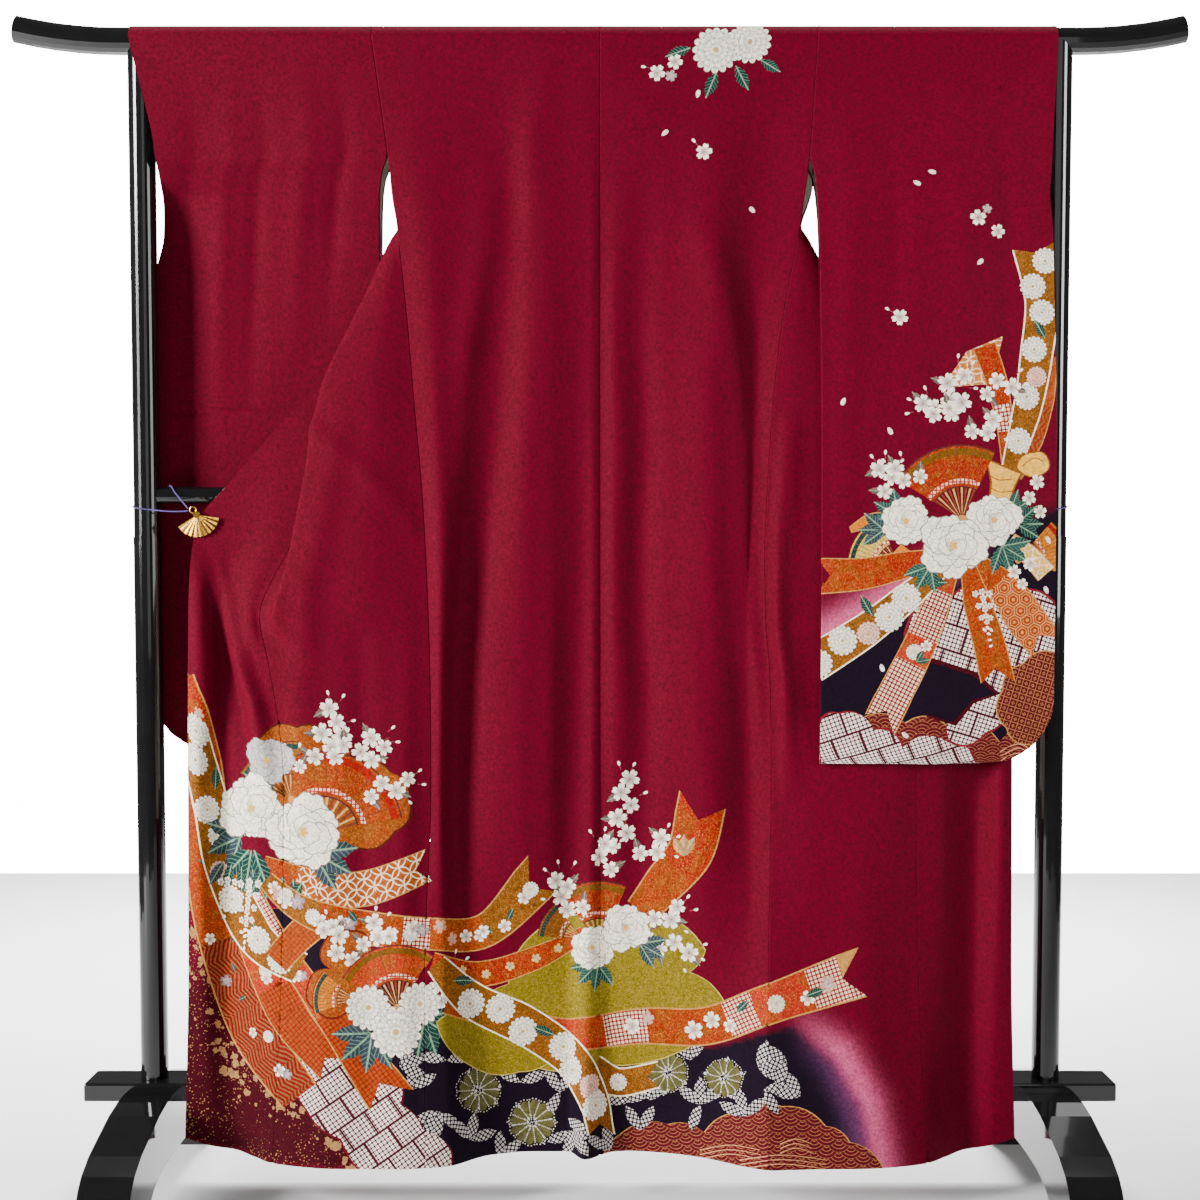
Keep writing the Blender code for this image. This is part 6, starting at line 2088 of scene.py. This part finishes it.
def dyed(node, kind, surface, sides, materials, wall=WALL):
    """One cut piece of cloth, drawn, dyed and in place of its node."""
    shapes, creases = [], []
    for side in sides:
        field = Field(surface, side.low, side.high, side.mirrored)
        for design in side.designs:
            shapes += carry(field, design.marks)
        creases += [(field.flat(line) / MM, half, heights) for line, half, heights in side.creases]

    def ground(surface, flat):
        colours = np.tile(np.array(CRIMSON), (len(flat), 1))
        points = surface.locate(flat)
        for side in sides:
            pick = (flat[:, 1] >= side.low) & (flat[:, 1] <= side.high)
            spots = viewed(points[pick] * ((-1, -1, 1) if side.mirrored else (1, 1, 1)))
            colours[pick] = side.ground(spots, colours[pick])
        return colours

    layout = strip_layout(surface, PICTURE_WIDTHS[kind])
    made = cut_piece(node + "_cloth", surface, EDGES[kind], shapes, creases, ground, layout, materials, wall)
    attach(made, "root")
    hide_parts(node)


# folds hanging in the cloth, in view units: points down the fold, half width in mm, heights along it in mm
BACK_FOLDS = {
    "left": [
        ([(492, 150), (486, 250), (468, 350), (460, 450), (450, 550), (438, 650), (432, 760)], 28,
         [0, 6, 13, 15, 9, 6, 3]),
        ([(522, 150), (522, 250), (508, 350), (496, 450), (483, 550), (470, 650), (466, 760), (464, 900)], 29,
         [0, -5, -8, -9, -9, -8, -6, -2]),
        ([(552, 160), (552, 400), (551, 650), (548, 960)], 19, [0, 2, 5, 2]),
        ([(580, 160), (580, 400), (579, 650), (576, 960)], 19, [0, -3, -6.5, -1]),
    ],
    "right": [
        ([(618, 140), (618, 450), (617, 800), (612, 960)], 20, [0, 6, 6.5, 1]),
        ([(646, 150), (646, 450), (645, 800), (640, 960)], 21, [0, -7, -7.5, -1]),
        ([(690, 200), (728, 300), (737, 380), (740, 450), (742, 550), (752, 650), (764, 750), (770, 850)], 24,
         [0, 5, 11, 15, 15, 12, 4, 0]),
        ([(700, 560), (706, 620), (712, 700), (720, 800)], 20, [0, -3, -3, 0]),
    ],
}
SLEEVE_FOLDS = {
    "left": [
        ([(190, 60), (186, 240), (184, 500)], 16, [0, -4, -2]),
        ([(226, 40), (222, 200), (218, 420)], 17, [0, 3.5, 1]),
        ([(258, 60), (256, 220), (250, 400)], 15, [0, -4, -1]),
        ([(300, 50), (300, 200), (290, 380)], 18, [0, 3.5, 0]),
        ([(338, 70), (336, 200), (326, 330)], 14, [0, -4, 0]),
        ([(160, 414), (230, 412), (300, 410)], 3.2, [-1.2, -1.6, -0.6]),
    ],
    "right": [
        ([(852, 60), (850, 260), (846, 500), (842, 700)], 20, [0, 3, 2, 0]),
        ([(900, 50), (896, 240), (890, 430)], 18, [0, -3, 0]),
        ([(960, 60), (962, 240), (958, 430)], 22, [0, 3, 0]),
        ([(1012, 50), (1010, 220), (1004, 420)], 16, [0, -3.5, 0]),
        ([(932, 520), (930, 640), (930, 760)], 26, [0, 2.5, 2]),
    ],
}
OVERLAP_FOLDS = {
    "left": [
        ([(203, 600), (204, 650), (206, 700), (210, 760)], 12, [0, 5, 6, 0]),
        ([(204, 545), (212, 600), (222, 650), (236, 700), (245, 750), (250, 810)], 15, [0, -6, -9, -9, -5, 0]),
        ([(218, 535), (229, 600), (241, 650), (255, 700), (262, 750), (268, 800)], 15, [0, 9, 14, 14, 7, 0]),
    ],
    "right": [([(784, 420), (782, 500), (776, 620), (786, 700), (790, 790)], 17, [2, 8, 14, 15, 2])],
}
FRONT_FOLDS = {
    "left": [
        ([(296, 380), (286, 450), (272, 540)], 18, [3, 5, 0]),
        ([(352, 380), (330, 480), (306, 580), (300, 700), (306, 860)], 22, [0, 3, 4, 3, 2]),
        ([(262, 780), (256, 900), (262, 1040), (270, 1150)], 15, [0, -3, -4, -4]),
        ([(320, 800), (322, 1000), (324, 1160)], 22, [1, 4, 3]),
        ([(360, 640), (362, 800), (366, 1000), (368, 1160)], 18, [-2, -3.5, -4, -3]),
        ([(404, 560), (404, 800), (404, 1000), (406, 1160)], 16, [0, 3, 3.5, 2]),
    ],
    "right": [
        *OVERLAP_FOLDS["right"],
        ([(860, 800), (868, 1000), (880, 1160)], 30, [0, 3, 2]),
        ([(930, 800), (930, 1000), (936, 1160)], 26, [0, -3, -2]),
    ],
}


# how far up from the front hem the design and the folds reach
FRONT_REACH = 0.90
OVERLAP_REACH = 0.93
COLLAR_LAYER = 0.001


def garment():
    materials = cloth_materials()
    hem, sleeve_back, shoulder = hem_design(), sleeve_design(), shoulder_design()
    for hand in HANDS:
        body = body_surface(hand)
        total = body.t[-1]
        back = [hem, shoulder] if hand == "right" else [hem]
        dyed("body_" + hand, "body", body,
             [Side(0.0, body.bar, back, hem_ground, BACK_FOLDS[hand]),
              Side(total - FRONT_REACH, total, [hem], hem_ground, FRONT_FOLDS[hand])],
             materials)
        overlap = overlap_surface(hand)
        total = overlap.t[-1]
        dyed("overlap_" + hand, "overlap", overlap,
             [Side(total - OVERLAP_REACH, total, [hem], hem_ground, OVERLAP_FOLDS[hand])],
             materials)
        sleeve = sleeve_surface(hand)
        if hand == "right":
            sides = [Side(0.0, sleeve.bar, [sleeve_back], sleeve_ground, SLEEVE_FOLDS[hand])]
        else:
            sides = [Side(0.0, sleeve.bar, [], plain_ground, SLEEVE_FOLDS[hand]),
                     Side(sleeve.bar, sleeve.t[-1], [sleeve_back], sleeve_ground, (), mirrored=True)]
        dyed("sleeve_" + hand, "sleeve", sleeve, sides, materials)
    band = Surface([folded_band(collar_rows(), COLLAR_FOLD_GAP)], "right")
    dyed("collar", "collar", band, [], materials, COLLAR_LAYER)


LACQUERED = ("top_bar", "mid_rail", "base_board", "pole", "foot")


def stand():
    lacquer, gilt = black_lacquer(), gilt_metal()
    for name, node in frame["nodes"].items():
        finish = gilt if name.startswith("fan_clip") else lacquer
        if name.startswith(LACQUERED) or name.startswith("fan_clip"):
            for place in node.material_slots:
                place.material = finish


# strength of the world as light and as seen, and half the side of the floor
GLOW = 0.10
BACKDROP = 16.0
FLOOR_REACH = 2.8
# place, aim, size, watts and spread in degrees
LIGHTS = {
    "key_light": ((-4.3, -2.5, 2.2), (0, 0, 0.9), (1.1, 2.4), 700, 180),
    "fill_light": ((0.4, -3.6, 1.7), (0, 0, 0.9), (2.4, 2.2), 19, 180),
    "right_light": ((1.9, -1.4, 1.5), (0.68, 0, 1.15), (0.5, 1.4), 6, 60),
    "back_light": ((0.6, 2.6, 2.2), (0, 0, 1.0), (2.0, 2.0), 17, 180),
    "floor_light": ((0, 1.7, 4.6), (0, 1.7, 0), (4.0, 2.4), 200, 50),
}


def studio():
    world = bpy.data.worlds.new("studio")
    world.use_nodes = True
    tree = world.node_tree
    glow, backdrop = tree.nodes["Background"], tree.nodes.new("ShaderNodeBackground")
    for light, strength in ((glow, GLOW), (backdrop, BACKDROP)):
        light.inputs[0].default_value = (1, 1, 1, 1)
        light.inputs[1].default_value = strength
    seen = tree.nodes.new("ShaderNodeLightPath")
    either = tree.nodes.new("ShaderNodeMixShader")
    tree.links.new(seen.outputs["Is Camera Ray"], either.inputs[0])
    tree.links.new(glow.outputs[0], either.inputs[1])
    tree.links.new(backdrop.outputs[0], either.inputs[2])
    tree.links.new(either.outputs[0], tree.nodes["World Output"].inputs["Surface"])
    scene.world = world
    bm = bmesh.new()
    bmesh.ops.create_grid(bm, x_segments=1, y_segments=1, size=FLOOR_REACH)
    data = bpy.data.meshes.new("floor")
    bm.to_mesh(data)
    bm.free()
    data.materials.append(studio_floor())
    floor = link("floor", data)
    for name, light in LIGHTS.items():
        area_light(name, *light)


camera()
tie_cords(cord_silk())
studio()
garment()
stand()
